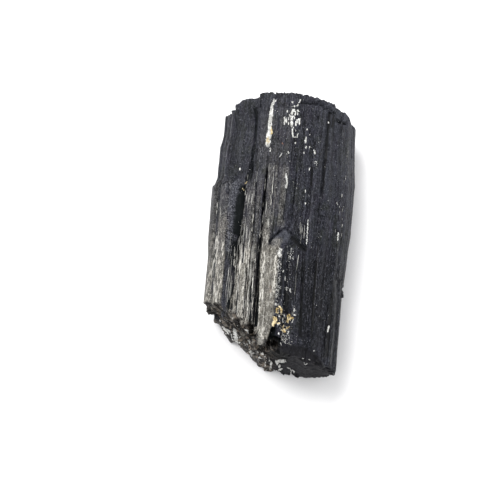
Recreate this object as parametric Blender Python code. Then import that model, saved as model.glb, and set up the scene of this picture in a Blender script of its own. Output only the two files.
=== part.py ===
"""A broken prism of black tourmaline (schorl), lying on its widest prism face.

The long axis of the crystal runs along Y, its grown end towards +Y and its broken end
towards -Y.  X runs across it and Z is up.  The crystal is one solid: a fluted core and
the smaller crystals that grew along it, joined, then broken, chipped and grooved.
"""
import math
import random

import bmesh
import bpy
from mathutils import Matrix, Vector, noise

MM = 0.001

# Driving dimensions of the whole crystal.
LENGTH = 90.0 * MM
WIDTH = 49.0 * MM
THICKNESS = 33.5 * MM

HALF_LENGTH = LENGTH / 2
HALF_WIDTH = WIDTH / 2
END_TAPER = 0.02

# Cross-section through the crests of the sub-crystals, as corners (across, up) in shares
# of half the width and of the thickness, anticlockwise seen from the broken end: a
# rounded three-sided prism with one edge upwards.
SECTION = (
    (-0.56, -0.04), (0.58, -0.04), (0.84, 0.09), (0.96, 0.25), (0.99, 0.40),
    (0.93, 0.57), (0.79, 0.71), (0.56, 0.84), (0.30, 0.93), (0.02, 0.98),
    (-0.30, 0.92), (-0.56, 0.83), (-0.78, 0.70), (-0.94, 0.54), (-1.00, 0.37),
    (-0.95, 0.18), (-0.79, 0.04),
)
SECTION_CENTRE = Vector((0.0, 0.45 * THICKNESS))
CORE_FLUTES = 72
CORE_SINK = 0.8 * MM
FLUTE_DEPTH = 0.8 * MM
CORE_LENGTH = 1.1 * LENGTH

# Sub-crystals that show on the upper side, from left to right.  Each row holds, in mm:
# left and right side across, lowest and highest place along, how far it stands proud of
# the section at the low and the high end, slope of the low end and of the high end
# (along per across), and how much the high end rises to a peak.
UPPER_CRYSTALS = {
    "slab_outer": (-25.6, -21.4, -31.0, 17.6, 0.8, 0.9, -0.30, 0.05, 0.0),
    "slab_middle": (-21.6, -18.2, -33.5, 19.4, 0.7, 0.9, -0.55, 0.00, 0.1),
    "slab_inner": (-18.5, -15.0, -35.0, 19.2, 0.3, 0.4, -0.40, -0.25, 0.1),
    "bank_outer": (-15.0, -12.6, -38.0, 12.0, -0.3, -1.2, -0.70, 0.60, 0.0),
    "bank_middle": (-12.9, -10.2, -40.0, 18.0, 0.0, -0.9, -0.50, 0.50, 0.0),
    "thin_rib": (-9.8, -8.0, -41.0, 10.0, 0.2, -0.4, -0.40, 0.30, 0.0),
    "block_left": (-11.9, -6.9, -26.0, 45.2, -0.9, 0.5, 0.50, 0.02, 0.0),
    "bright_rib": (-7.1, -1.4, -44.2, 45.4, 0.4, 0.5, -0.30, 0.02, 0.0),
    "block_crest": (-2.0, 3.1, -14.0, 44.9, 0.1, 0.2, 0.10, -0.03, 0.0),
    "block_right": (2.7, 7.8, -49.0, 45.2, -0.3, 0.0, 0.00, -0.05, 0.0),
    "chevron": (-4.3, 3.2, -49.0, 4.6, 1.4, 1.7, 0.10, 0.00, 0.80),
    "chevron_flank": (2.8, 8.6, -49.0, 0.0, 0.7, 1.2, 0.10, -0.75, 0.0),
    "right_plane": (7.4, 12.2, -49.0, 44.6, 0.1, 0.3, 0.10, -0.08, 0.0),
    "right_rib": (11.9, 15.7, -49.0, 44.0, 0.4, 0.1, 0.10, -0.20, 0.0),
    "right_step": (15.3, 18.9, -49.0, 43.0, 0.1, 0.1, 0.10, -0.30, 0.0),
    "right_edge": (18.5, 23.4, -17.0, 42.0, 0.3, 0.2, 0.20, -0.60, 0.0),
    "right_foot": (18.6, 23.0, -49.0, -10.0, -0.4, -0.3, 0.10, 0.20, 0.0),
    "right_keel": (17.2, 20.6, -49.0, 2.0, 0.9, 0.1, 0.05, -0.60, 0.0),
}

# How far the high end falls back, in mm along for each mm of height: a sloping end face
# or a ragged ledge.  The others end almost square.
END_LEANS = {
    "slab_outer": 0.7, "slab_middle": 1.1, "slab_inner": 1.5,
    "chevron": 2.3, "chevron_flank": 1.9,
}
SQUARE_LEAN = 0.1

# Fine ribs over the upper side: how many, between which sides across, and the ranges of
# their half width, height above the section and length, in mm.
FINE_RIBS = 14
FINE_RIB_SPAN = (-22.6, 21.4)
FINE_RIB_HALF_WIDTH = (0.40, 0.85)
FINE_RIB_PROUD = (0.2, 0.75)
FINE_RIB_LENGTH = (38.0, 86.0)
FINE_RIB_SUNK = -1.7

# Long troughs between them, in mm: left and right side across, lowest and highest place
# along, depth below the section at the low and the high end.
UPPER_TROUGHS = {
    "left_face_outer": (-26.0, -20.4, 16.0, 50.0, 1.2, 0.9),
    "left_face_middle": (-20.9, -17.4, 15.6, 50.0, 2.0, 1.7),
    "left_face_inner": (-17.9, -14.6, 14.6, 50.0, 1.7, 1.4),
    "left_face_corner": (-15.2, -12.1, 13.4, 50.0, 2.3, 1.9),
}

# Every sub-crystal: sides, half height in mm, how boxy its section is (1 is round), the
# range of its uneven faces, its swelling at either end, and how far it drifts sideways.
CRYSTAL_SIDES = 8
CRYSTAL_HALF_HEIGHT = 2.8
SQUARENESS = 0.42
UNEVEN_FACES = (0.90, 1.06)
SWELL_LOW = 1.02
SWELL_HIGH = 0.97
DRIFT = 0.15
STEEPEST_SIDE = 0.6
OVERRUN = 4.0

# Troughs along the underside, which leave flat lands between them to rest on, in mm:
# left and right side across, lowest and highest place along, depth.
UNDER_TROUGHS = {
    "under_left": (-12.9, -10.2, -50.0, 12.0, 1.1),
    "under_left_short": (-9.4, -7.6, -8.0, 50.0, 0.7),
    "under_middle": (-3.6, 0.2, -26.0, 30.0, 0.8),
    "under_right_short": (3.4, 4.8, -50.0, 4.0, 0.6),
    "under_right": (8.2, 12.4, -14.0, 50.0, 1.2),
}

# Sub-crystals round the flanks and the underside, spread by angle from +X (degrees).
FLANK_ANGLES = (-166, -156, -146, -136, -126, -55, -45, -35, -25, -13, 0, 12, 168, -178)
FLANK_HALF_WIDTH = (1.6, 3.0)
FLANK_PROUD = (-0.6, 0.4)

# Clefts cut into the upper side, in mm: across and along at the high end, the same at
# the low end, half width at each end, depth below the section.
CLEFTS = {
    "slab_gap": (-14.1, 15.5, -15.7, -33.0, 1.75, 0.90, 5.0),
    "block_notch": (-12.0, 28.0, -13.6, 12.0, 0.60, 1.00, 3.6),
    "left_face_cleft": (-13.2, 43.0, -12.4, 26.0, 0.45, 0.45, 3.2),
    "middle_slit": (-7.1, 18.0, -7.4, -4.0, 0.50, 0.45, 3.0),
    "thin_rib_gap": (-7.3, -4.0, -6.8, -40.5, 0.75, 0.80, 3.2),
    "bank_gap": (-10.2, 4.0, -9.8, -39.0, 0.40, 0.40, 2.0),
    "right_cleft": (12.3, 41.0, 11.3, -6.0, 0.40, 0.40, 1.6),
    "right_low_cleft": (15.7, 4.0, 15.1, -39.0, 0.40, 0.40, 1.6),
    "keel_gap": (17.6, -24.0, 17.5, -43.0, 0.45, 0.45, 2.0),
    "rim_crack": (4.0, 42.4, 15.4, 40.6, 0.30, 0.30, 1.5),
}
CLEFT_STEPS = 4
CLEFT_PROUD = 4.0 * MM
CLEFT_MOUTH = 1.6
CLEFT_FLOOR = 0.15

# Pits and hollows, in mm: across, along, height, radius across, along, up.  Each is a
# ball whose skin is lumpy by the given share.
PITS = {
    "cavity_left": (-8.4, -39.4, 28.6, 1.4, 2.0, 2.8),
    "cavity_tip": (1.4, -43.6, 31.4, 2.0, 2.2, 3.0),
    "ledge_slit": (-20.0, 13.6, 23.4, 0.5, 1.8, 2.6),
    "bottom_shell": (9.0, -48.8, 12.0, 13.0, 4.6, 11.0),
    "bottom_scoop": (12.5, -48.2, 24.5, 6.5, 4.6, 6.0),
    "end_shell": (3.0, 48.0, 14.0, 15.0, 4.2, 9.0),
    "edge_notch": (23.6, -18.2, 16.0, 1.2, 1.6, 4.0),
}
PIT_LUMPS = 0.22

# Blocks broken out of the grown end, in mm: lowest and highest corner (across, along,
# up) of each.
STEPS = {
    "left_corner": (-27.0, 41.6, -6.0, -19.8, 50.0, 40.0),
    "left_shoulder": (-21.0, 43.6, -6.0, -17.6, 50.0, 40.0),
    "block_shoulder": (-18.5, 44.1, 16.0, -11.7, 50.0, 40.0),
    "right_shoulder": (14.9, 43.0, -6.0, 30.0, 50.0, 40.0),
}
STEP_RELIEF = 0.35
STEP_CUTS = 3

# Broken faces: place and outward direction (x, y, z in mm), tile size, relief.
BREAKS = {
    "grown_end": ((0.0, 44.8, 16.0), (0.0, 1.0, 0.02), 1.6, 0.45),
    "broken_end": ((6.0, -45.0, 16.0), (-0.04, -1.0, 0.03), 1.5, 0.50),
    "oblique_break": ((-12.0, -36.6, 18.0), (-0.72, -1.0, 0.12), 1.5, 0.85),
    "right_shoulder_break": ((22.2, 41.6, 18.0), (1.0, 0.9, 0.25), 1.8, 0.55),
}
BREAK_SIZE = 64.0 * MM
BREAK_DEPTH = 14.0 * MM
BREAK_SHIFT = 0.22

# Seeds of the uneven shapes.
NOISE_SEED = 7
CORE_SEED = 3
UPPER_SEED = 11
FINE_RIB_SEED = 42
UPPER_TROUGH_SEED = 17
UNDER_TROUGH_SEED = 29
FLANK_SEED = 28

WELD = 0.003 * MM
COLLECTION = "tourmaline_crystal"
NODE = "tourmaline_crystal"
SCHORL_COLOUR = (0.020, 0.020, 0.022, 1.0)
SCHORL_ROUGHNESS = 0.42


def clear_scene():
    """Remove every object, so the file starts empty."""
    for item in list(bpy.data.objects):
        bpy.data.objects.remove(item, do_unlink=True)


def new_collection(name):
    group = bpy.data.collections.new(name)
    bpy.context.scene.collection.children.link(group)
    return group


def new_object(name, bm, group):
    """Turn a bmesh into an object of the given collection.

    Its points and faces are put in order of place, so every run builds the same mesh.
    """
    bmesh.ops.recalc_face_normals(bm, faces=bm.faces)
    points = sorted(bm.verts, key=lambda vert: vert.co[:])
    order = {vert: index for index, vert in enumerate(points)}
    rings = []
    for face in bm.faces:
        ring = [order[vert] for vert in face.verts]
        first = ring.index(min(ring))
        rings.append(ring[first:] + ring[:first])
    mesh = bpy.data.meshes.new(name)
    mesh.from_pydata([vert.co[:] for vert in points], [], sorted(rings))
    bm.free()
    item = bpy.data.objects.new(name, mesh)
    group.objects.link(item)
    return item


def section_corners():
    return [Vector((x * HALF_WIDTH, z * THICKNESS)) for x, z in SECTION]


def section_point(angle):
    """Point of the section's outline seen from its centre in the given direction.

    Returns the point and the angle of the outline's outward normal there.
    """
    corners = section_corners()
    direction = Vector((math.cos(angle), math.sin(angle)))
    for start, end in zip(corners, corners[1:] + corners[:1]):
        near = start - SECTION_CENTRE
        edge = end - start
        cross = direction.x * edge.y - direction.y * edge.x
        if abs(cross) < 1e-12:
            continue
        distance = (near.x * edge.y - near.y * edge.x) / cross
        share = (near.x * direction.y - near.y * direction.x) / cross
        if distance > 0 and -1e-9 <= share <= 1 + 1e-9:
            return SECTION_CENTRE + direction * distance, math.atan2(-edge.x, edge.y)
    raise ValueError("the section has a gap")


def upper_point(across):
    """Point of the upper outline at a place across it, and the normal's angle."""
    low, high = math.radians(2), math.radians(178)
    for _ in range(40):
        middle = (low + high) / 2
        point, normal = section_point(middle)
        if point.x > across:
            low = middle
        else:
            high = middle
    return point, normal


def taper(bm):
    """Narrow the shape towards the broken end, as the whole crystal does."""
    for vert in bm.verts:
        vert.co.x *= 1 - END_TAPER * (1 - vert.co.y / HALF_LENGTH)


def unit_prism(sides):
    """A prism of unit radius along Y, from y = 0 to y = 1, with both ends closed."""
    bm = bmesh.new()
    bmesh.ops.create_cone(bm, cap_ends=True, segments=sides, radius1=1.0, radius2=1.0, depth=1.0)
    turn = Matrix.Rotation(math.radians(-90), 4, "X")
    bmesh.ops.transform(bm, matrix=Matrix.Translation((0, 0.5, 0)) @ turn, verts=bm.verts)
    return bm


def core(group):
    """The fluted core, which runs the whole length."""
    rng = random.Random(CORE_SEED)
    bm = unit_prism(CORE_FLUTES)
    depths = [CORE_SINK + rng.uniform(0.0, FLUTE_DEPTH) for _ in range(CORE_FLUTES)]
    for vert in bm.verts:
        angle = math.atan2(vert.co.z, vert.co.x)
        flute = round(angle / math.tau * CORE_FLUTES) % CORE_FLUTES
        outline, _ = section_point(angle)
        inward = (SECTION_CENTRE - outline).normalized() * depths[flute]
        along = (vert.co.y - 0.5) * CORE_LENGTH
        vert.co = Vector((outline.x + inward.x, along, outline.y + inward.y))
    taper(bm)
    return new_object("core", bm, group)


def squared(value):
    """Push a sine or cosine outwards, so that a round section turns boxy."""
    return math.copysign(abs(value) ** SQUARENESS, value)


def crystal(name, point, normal, shape, ends, rng, group):
    """One sub-crystal: a flat-topped prism with uneven faces and sloping ends.

    Its middle lies under the given point of the outline, along the normal there.
    """
    half_wide, proud_low, proud_high = shape
    half_high = CRYSTAL_HALF_HEIGHT
    low, high, low_slope, high_slope, peak = ends
    lean = END_LEANS.get(name, SQUARE_LEAN)
    outward = Vector((math.cos(normal), math.sin(normal)))
    sideways = Vector((outward.y, -outward.x))
    bm = unit_prism(CRYSTAL_SIDES)
    uneven = [rng.uniform(*UNEVEN_FACES) for _ in range(CRYSTAL_SIDES)]
    drift = rng.uniform(-DRIFT, DRIFT)
    for vert in bm.verts:
        angle = math.atan2(vert.co.z, vert.co.x)
        side = int(angle / math.tau * CRYSTAL_SIDES) % CRYSTAL_SIDES
        high_end = vert.co.y > 0.5
        swell = uneven[side] * (SWELL_HIGH if high_end else SWELL_LOW)
        x = squared(math.cos(angle)) * swell * half_wide
        z = squared(math.sin(angle)) * half_high
        if high_end:
            along = high + high_slope * x - peak * abs(x) - lean * (z + half_high)
        else:
            along = low + low_slope * x
        proud = proud_high if high_end else proud_low
        place = point / MM + outward * (proud - half_high + z) + sideways * x
        vert.co = Vector((place.x + (drift if high_end else -drift), along, place.y))
    bmesh.ops.scale(bm, vec=(MM, MM, MM), verts=bm.verts)
    taper(bm)
    return new_object(name, bm, group)


def width_on_slope(left, right):
    """Middle point, normal and half width of a strip of the upper side."""
    point, normal = upper_point((left + right) / 2 * MM)
    return point, normal, (right - left) / 2 / max(math.sin(normal), STEEPEST_SIDE)


def upper_crystals(group):
    """The named sub-crystals of the upper side, each leaning with the surface."""
    rng = random.Random(UPPER_SEED)
    for name, row in UPPER_CRYSTALS.items():
        left, right, low, high, proud_low, proud_high, low_slope, high_slope, peak = row
        point, normal, half_wide = width_on_slope(left, right)
        shape = (half_wide, proud_low, proud_high)
        ends = (low, high, low_slope, high_slope, peak)
        crystal(name, point, normal, shape, ends, rng, group)


def fine_ribs(group):
    """Thin ribs along the upper side, each from one end until it sinks into the surface."""
    rng = random.Random(FINE_RIB_SEED)
    first, last = FINE_RIB_SPAN
    pitch = (last - first) / FINE_RIBS
    end = HALF_LENGTH / MM + OVERRUN
    for index in range(FINE_RIBS):
        across = first + (index + rng.uniform(0.2, 0.8)) * pitch
        point, normal = upper_point(across * MM)
        length = rng.uniform(*FINE_RIB_LENGTH)
        proud = rng.uniform(*FINE_RIB_PROUD)
        half_wide = rng.uniform(*FINE_RIB_HALF_WIDTH)
        if index % 2:
            shape = (half_wide, FINE_RIB_SUNK, proud)
            ends = (end - length, end, 0.0, 0.0, 0.0)
        else:
            shape = (half_wide, proud, FINE_RIB_SUNK)
            ends = (-end, length - end, 0.0, 0.0, 0.0)
        crystal(f"fine_rib_{index + 1}", point, normal, shape, ends, rng, group)


def upper_troughs(group):
    """Where a sub-crystal came away: flat-bottomed troughs in the upper side."""
    rng = random.Random(UPPER_TROUGH_SEED)
    for name, row in UPPER_TROUGHS.items():
        left, right, low, high, depth_low, depth_high = row
        point, normal, half_wide = width_on_slope(left, right)
        opening = 2 * CRYSTAL_HALF_HEIGHT
        shape = (half_wide, opening - depth_low, opening - depth_high)
        ends = (low, high, rng.uniform(-0.3, 0.3), 0.0, 0.0)
        crystal(name, point, normal, shape, ends, rng, group)


def under_troughs(group):
    """Flat-bottomed troughs in the resting face."""
    rng = random.Random(UNDER_TROUGH_SEED)
    down = -math.pi / 2
    for name, row in UNDER_TROUGHS.items():
        left, right, low, high, depth = row
        point = Vector(((left + right) / 2 * MM, 0.0))
        sunk = 2 * CRYSTAL_HALF_HEIGHT - depth
        shape = ((right - left) / 2, sunk, sunk)
        ends = (low, high, rng.uniform(-0.8, 0.8), rng.uniform(-0.8, 0.8), 0.0)
        crystal(name, point, down, shape, ends, rng, group)


def flank_crystals(group):
    """Sub-crystals round the flanks and under the crystal, of seeded widths."""
    rng = random.Random(FLANK_SEED)
    reach = HALF_LENGTH / MM
    for index, degrees in enumerate(FLANK_ANGLES):
        point, normal = section_point(math.radians(degrees))
        low, high = -reach - OVERRUN, reach + OVERRUN
        if index % 3 == 1:
            low = rng.uniform(-0.5, 0.2) * reach
        if index % 3 == 2:
            high = rng.uniform(-0.1, 0.6) * reach
        proud = rng.uniform(*FLANK_PROUD)
        shape = (rng.uniform(*FLANK_HALF_WIDTH), proud, proud)
        ends = (low, high, rng.uniform(-0.5, 0.5), rng.uniform(-0.5, 0.5), 0.0)
        crystal(f"flank_{index + 1}", point, normal, shape, ends, rng, group)


def cleft_cutter(name, row, group):
    """A V-shaped blade that stands square to the surface and tapers at both ends."""
    high_x, high_y, low_x, low_y, wide_high, wide_low, depth = (value * MM for value in row)
    run = Vector((high_x - low_x, high_y - low_y)).normalized()
    bm = bmesh.new()
    bmesh.ops.create_cube(bm, size=2.0)
    long_edges = [e for e in bm.edges if abs(e.verts[0].co.y - e.verts[1].co.y) > 1.0]
    bmesh.ops.subdivide_edges(bm, edges=long_edges, cuts=CLEFT_STEPS)
    for vert in bm.verts:
        share = (vert.co.y + 1) / 2
        end_taper = math.sin(math.pi * min(max(share, 0.08), 0.94)) ** 0.6
        point, normal = upper_point(low_x + (high_x - low_x) * share)
        half_wide = (wide_low + (wide_high - wide_low) * share) * end_taper
        under = vert.co.z < 0
        side = vert.co.x * half_wide * (CLEFT_FLOOR if under else CLEFT_MOUTH)
        rise = -depth * end_taper if under else CLEFT_PROUD
        across = side * run.y
        vert.co.x = point.x + across * math.sin(normal) + rise * math.cos(normal)
        vert.co.z = point.y - across * math.cos(normal) + rise * math.sin(normal)
        vert.co.y = low_y + (high_y - low_y) * share - side * run.x
    taper(bm)
    return new_object(name, bm, group)


def step_cutter(name, row, group):
    """A rough block, broken out of an end of the crystal."""
    low = Vector(row[:3])
    high = Vector(row[3:])
    bm = bmesh.new()
    bmesh.ops.create_cube(bm, size=1.0)
    bmesh.ops.subdivide_edges(bm, edges=bm.edges[:], cuts=STEP_CUTS, use_grid_fill=True)
    for vert in bm.verts:
        point = Vector([
            low[axis] + (high[axis] - low[axis]) * (vert.co[axis] + 0.5) for axis in range(3)
        ])
        shake = noise.noise_vector(point * 0.31) + 0.6 * noise.noise_vector(point * 0.8)
        vert.co = (point + shake * STEP_RELIEF) * MM
    return new_object(name, bm, group)


def pit_cutter(name, row, group):
    """A lumpy ball that leaves a hollow where the crystal broke."""
    across, along, height, wide, long, tall = (value * MM for value in row)
    bm = bmesh.new()
    bmesh.ops.create_icosphere(bm, subdivisions=2, radius=1.0)
    for vert in bm.verts:
        lump = noise.noise(vert.co * 1.7 + Vector((across, along, height)) * 900)
        bump = 1.0 + PIT_LUMPS * lump
        vert.co = Vector((
            across + vert.co.x * wide * bump,
            along + vert.co.y * long * bump,
            height + vert.co.z * tall * bump,
        ))
    return new_object(name, bm, group)


def break_cutter(name, row, group):
    """A block whose near face is a rough fracture with steps and lumps."""
    place, outward, tile, relief = row
    place = Vector(place) * MM
    cuts = int(BREAK_SIZE / (tile * MM))
    bm = bmesh.new()
    bmesh.ops.create_grid(bm, x_segments=cuts, y_segments=cuts, size=BREAK_SIZE / 2)
    roof = bmesh.ops.extrude_face_region(bm, geom=bm.faces[:])["geom"]
    raised = [item for item in roof if isinstance(item, bmesh.types.BMVert)]
    bmesh.ops.translate(bm, vec=(0, 0, BREAK_DEPTH), verts=raised)
    lifted = set(raised)
    offset = Vector((place.x, place.z, 0)) * 400
    for vert in bm.verts:
        if vert in lifted:
            continue
        point = vert.co / MM
        _, tiles = noise.voronoi(point * 0.20 + offset)
        steps = noise.cell(tiles[0] * 50) - 0.5
        lumps = noise.noise(point * 0.33 + offset)
        grains = noise.noise(point * 0.9 - offset)
        vert.co.z += relief * MM * (0.9 * steps + 1.1 * lumps + 0.55 * grains)
        vert.co.x += BREAK_SHIFT * tile * MM * noise.noise(point * 0.7 + offset * 2)
        vert.co.y += BREAK_SHIFT * tile * MM * noise.noise(point * 0.7 - offset * 2)
    aim = Vector(outward).to_track_quat("Z", "Y").to_matrix().to_4x4()
    bmesh.ops.transform(bm, matrix=Matrix.Translation(place) @ aim, verts=bm.verts)
    return new_object(name, bm, group)


def floor_cutter(group):
    """The flat prism face that the crystal rests on, at z = 0."""
    bm = bmesh.new()
    bmesh.ops.create_cube(bm, size=1.0)
    bmesh.ops.scale(bm, vec=(2 * WIDTH, 2 * LENGTH, THICKNESS), verts=bm.verts)
    bmesh.ops.translate(bm, vec=(0, 0, -THICKNESS / 2), verts=bm.verts)
    return new_object("resting_face_cutter", bm, group)


def hide_cutters(group):
    for item in group.objects:
        item.hide_render = True
        item.display_type = "WIRE"


def combine(target, group, operation):
    """Add or take away every object of a collection, one exact Boolean for them all."""
    modifier = target.modifiers.new(operation.lower(), "BOOLEAN")
    modifier.operation = operation
    modifier.operand_type = "COLLECTION"
    modifier.collection = group
    modifier.solver = "EXACT"
    modifier.use_self = True
    return modifier


def schorl_material():
    material = bpy.data.materials.new("schorl")
    material.use_nodes = True
    shader = material.node_tree.nodes["Principled BSDF"]
    shader.inputs["Base Color"].default_value = SCHORL_COLOUR
    shader.inputs["Roughness"].default_value = SCHORL_ROUGHNESS
    shader.inputs["Metallic"].default_value = 0.0
    return material


def finished_crystal(joined, group):
    """Bake the Booleans, drop slivers and set the origin under the middle of the box."""
    evaluated = joined.evaluated_get(bpy.context.evaluated_depsgraph_get())
    mesh = bpy.data.meshes.new_from_object(evaluated)
    bm = bmesh.new()
    bm.from_mesh(mesh)
    bmesh.ops.remove_doubles(bm, verts=bm.verts, dist=WELD)
    bmesh.ops.triangulate(bm, faces=bm.faces)
    low = Vector([min(v.co[axis] for v in bm.verts) for axis in range(3)])
    high = Vector([max(v.co[axis] for v in bm.verts) for axis in range(3)])
    middle = (low + high) / 2
    bmesh.ops.translate(bm, vec=(-middle.x, -middle.y, -low.z), verts=bm.verts)
    crystal_object = new_object(NODE, bm, group)
    crystal_object.data.materials.append(schorl_material())
    return crystal_object


def main():
    clear_scene()
    noise.seed_set(NOISE_SEED)
    parts = new_collection(COLLECTION)
    growth = new_collection("growth")
    cutters = new_collection("cutters")
    stem = core(parts)
    upper_crystals(growth)
    fine_ribs(growth)
    flank_crystals(growth)
    upper_troughs(cutters)
    under_troughs(cutters)
    for name, row in CLEFTS.items():
        cleft_cutter(name, row, cutters)
    for name, row in PITS.items():
        pit_cutter(name, row, cutters)
    for name, row in STEPS.items():
        step_cutter(name, row, cutters)
    for name, row in BREAKS.items():
        break_cutter(name, row, cutters)
    floor_cutter(cutters)
    hide_cutters(growth)
    hide_cutters(cutters)
    combine(stem, growth, "UNION")
    combine(stem, cutters, "DIFFERENCE")
    finished_crystal(stem, parts)
    bpy.data.objects.remove(stem, do_unlink=True)


main()
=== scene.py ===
import itertools
import math

import bpy
import numpy as np
from mathutils import Matrix, Vector
from mathutils.bvhtree import BVHTree


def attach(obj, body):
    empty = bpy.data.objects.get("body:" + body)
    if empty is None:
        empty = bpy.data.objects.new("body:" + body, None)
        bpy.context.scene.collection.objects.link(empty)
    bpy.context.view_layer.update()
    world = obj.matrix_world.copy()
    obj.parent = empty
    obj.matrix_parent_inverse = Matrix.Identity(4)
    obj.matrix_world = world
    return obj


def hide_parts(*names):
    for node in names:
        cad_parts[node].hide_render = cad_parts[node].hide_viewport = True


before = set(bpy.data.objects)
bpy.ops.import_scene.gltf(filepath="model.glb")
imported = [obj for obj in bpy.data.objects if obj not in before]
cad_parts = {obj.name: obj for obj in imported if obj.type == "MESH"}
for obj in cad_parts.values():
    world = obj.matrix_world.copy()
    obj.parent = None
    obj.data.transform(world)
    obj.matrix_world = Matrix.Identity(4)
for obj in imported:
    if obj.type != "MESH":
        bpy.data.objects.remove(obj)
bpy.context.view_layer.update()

# Lengths are in millimetres up to where a mesh is made. The crystal lies along Y.
MM = 0.001
NODE = "tourmaline_crystal"

# The photograph's view of the crystal: how far the camera leans towards the broken end, its
# roll, the size of a pixel on the crystal, and the pixel and the place of the crystal's middle.
TILT = math.radians(17.0)
ROLL = math.radians(5.8)
PHOTO_SIDE = 500.0
PIXEL_MM = 0.343
LENS_MM = 80.0
SENSOR_MM = 36.0
ZOOM = LENS_MM * PHOTO_SIDE / SENSOR_MM
MIDDLE_PIXEL = (281.3, 231.0)
MIDDLE_PLACE = (0.2, 0.0, 17.0)

# The crystal's surface is one closed net of points: columns round it, rows along it. The
# side rows lie square to the axis, and the end rows fan out from a hub near each end.
AXIS_HEIGHT = 15.5
HUB = 31.0
END_REACH = 14.8
COLUMNS = 1300
ROW_STEP = 0.30
CAP_STEP = 0.36
UNDERSIDE_DENSITY = 0.42
FACE_BUDGET = 196000
# The columns are spread by the mean radius of these many casts at these places along it.
GIRTH_CASTS = 1440
GIRTH_PLACES = (-22.0, 6.0, 24.0)
GIRTH_BLUR = 20
SHARP_ANGLE = math.radians(32)


# ---------------------------------------------------------------- seeded noise in numpy
def lattice(cell, seed):
    """A value from 0 to 1 for every cell of a grid, the same each run."""
    ix, iy, iz = cell.T
    mixed = (ix * 374761393 + iy * 668265263 + iz * 2147483647 + seed * 144665) & 0xFFFFFFFF
    mixed = ((mixed ^ (mixed >> 13)) * 1274126177) & 0xFFFFFFFF
    mixed = mixed ^ (mixed >> 16)
    return (mixed & 0xFFFFFF) / float(0xFFFFFF)


def lattice_place(cell, seed):
    return np.stack([lattice(cell, seed + axis) for axis in range(3)], 1)


def soft_noise(points, size, seed):
    """Smooth noise from -1 to 1; size is one length or three, in mm."""
    place = points / np.asarray(size, float)
    cell = np.floor(place).astype(np.int64)
    share = place - cell
    share = share * share * (3 - 2 * share)
    total = np.zeros(len(points))
    for corner in itertools.product((0, 1), repeat=3):
        weight = np.ones(len(points))
        for axis, side in enumerate(corner):
            weight *= share[:, axis] if side else 1 - share[:, axis]
        total += weight * lattice(cell + corner, seed)
    return total * 2 - 1


def rough_noise(points, size, seed, octaves=3):
    total = np.zeros(len(points))
    size = np.asarray(size, float)
    for octave in range(octaves):
        total += soft_noise(points, size / 2 ** octave, seed + octave) * 0.5 ** octave
    return total


def broken_tiles(points, size, seed):
    """The surface of a rough fracture: flat tiles at different levels and leans."""
    place = points / np.asarray(size, float)
    base = np.floor(place).astype(np.int64)
    nearest = np.full(len(points), 1e9)
    level = np.zeros(len(points))
    for step in itertools.product((-1, 0, 1), repeat=3):
        cell = base + step
        away = place - (cell + lattice_place(cell, seed))
        distance = (away ** 2).sum(1)
        closer = distance < nearest
        lean = lattice_place(cell, seed + 7) - 0.5
        value = lattice(cell, seed + 11) - 0.5 + 1.5 * (away * lean).sum(1)
        level = np.where(closer, value, level)
        nearest = np.where(closer, distance, nearest)
    return level


def smooth_step(low, high, value):
    share = np.clip((value - low) / (high - low), 0, 1)
    return share * share * (3 - 2 * share)


def zone_share(value, low, high, soft):
    """1 between low and high, 0 outside them."""
    return smooth_step(low - soft, low + soft, value) * smooth_step(high + soft, high - soft, value)


def blurred(field, rows, columns):
    """Box blur of a net of values; it wraps round the crystal but not along it."""
    for _ in range(2):
        if columns:
            padded = np.concatenate([field[:, -columns:], field, field[:, :columns]], 1)
            total = np.cumsum(np.pad(padded, ((0, 0), (1, 0))), 1)
            width = 2 * columns + 1
            field = (total[:, width:] - total[:, :-width]) / width
        if rows:
            padded = np.pad(field, ((rows, rows), (0, 0)), mode="edge")
            total = np.cumsum(np.pad(padded, ((1, 0), (0, 0))), 0)
            width = 2 * rows + 1
            field = (total[width:] - total[:-width]) / width
    return field


def closed_over(field, reach):
    """The values with every dip narrower than twice the reach, in columns, filled up."""
    for pick in (np.maximum, np.minimum):
        result = field.copy()
        for step in range(1, reach + 1):
            result = pick(result, pick(np.roll(field, step, 1), np.roll(field, -step, 1)))
        field = result
    return field


# ------------------------------------------------------------------------- the camera
def camera_axes():
    back = Vector((0, -math.sin(TILT), math.cos(TILT)))
    level = Vector((1, 0, 0))
    upright = Vector((0, math.cos(TILT), math.sin(TILT)))
    right = math.cos(ROLL) * level + math.sin(ROLL) * upright
    up = -math.sin(ROLL) * level + math.cos(ROLL) * upright
    return right, up, back


def camera_place():
    right, up, back = camera_axes()
    place = Vector(MIDDLE_PLACE) + back * (PHOTO_SIDE * PIXEL_MM * LENS_MM / SENSOR_MM)
    place -= right * (MIDDLE_PIXEL[0] - PHOTO_SIDE / 2) * PIXEL_MM
    place += up * (MIDDLE_PIXEL[1] - PHOTO_SIDE / 2) * PIXEL_MM
    return place


def pixel_ray(pixel):
    """Start and direction, in mm, of the line of sight through a pixel."""
    right, up, back = camera_axes()
    aim = right * (pixel[0] - PHOTO_SIDE / 2) / ZOOM - up * (pixel[1] - PHOTO_SIDE / 2) / ZOOM
    return camera_place(), (aim - back).normalized()


def to_pixels(points):
    """Where points of the crystal, in mm, fall in the photograph."""
    right, up, back = [np.array(axis) for axis in camera_axes()]
    away = points - np.array(camera_place())
    depth = -(away @ back)
    middle = PHOTO_SIDE / 2
    return np.stack([
        middle + away @ right / depth * ZOOM, middle - away @ up / depth * ZOOM,
    ], 1)


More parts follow.
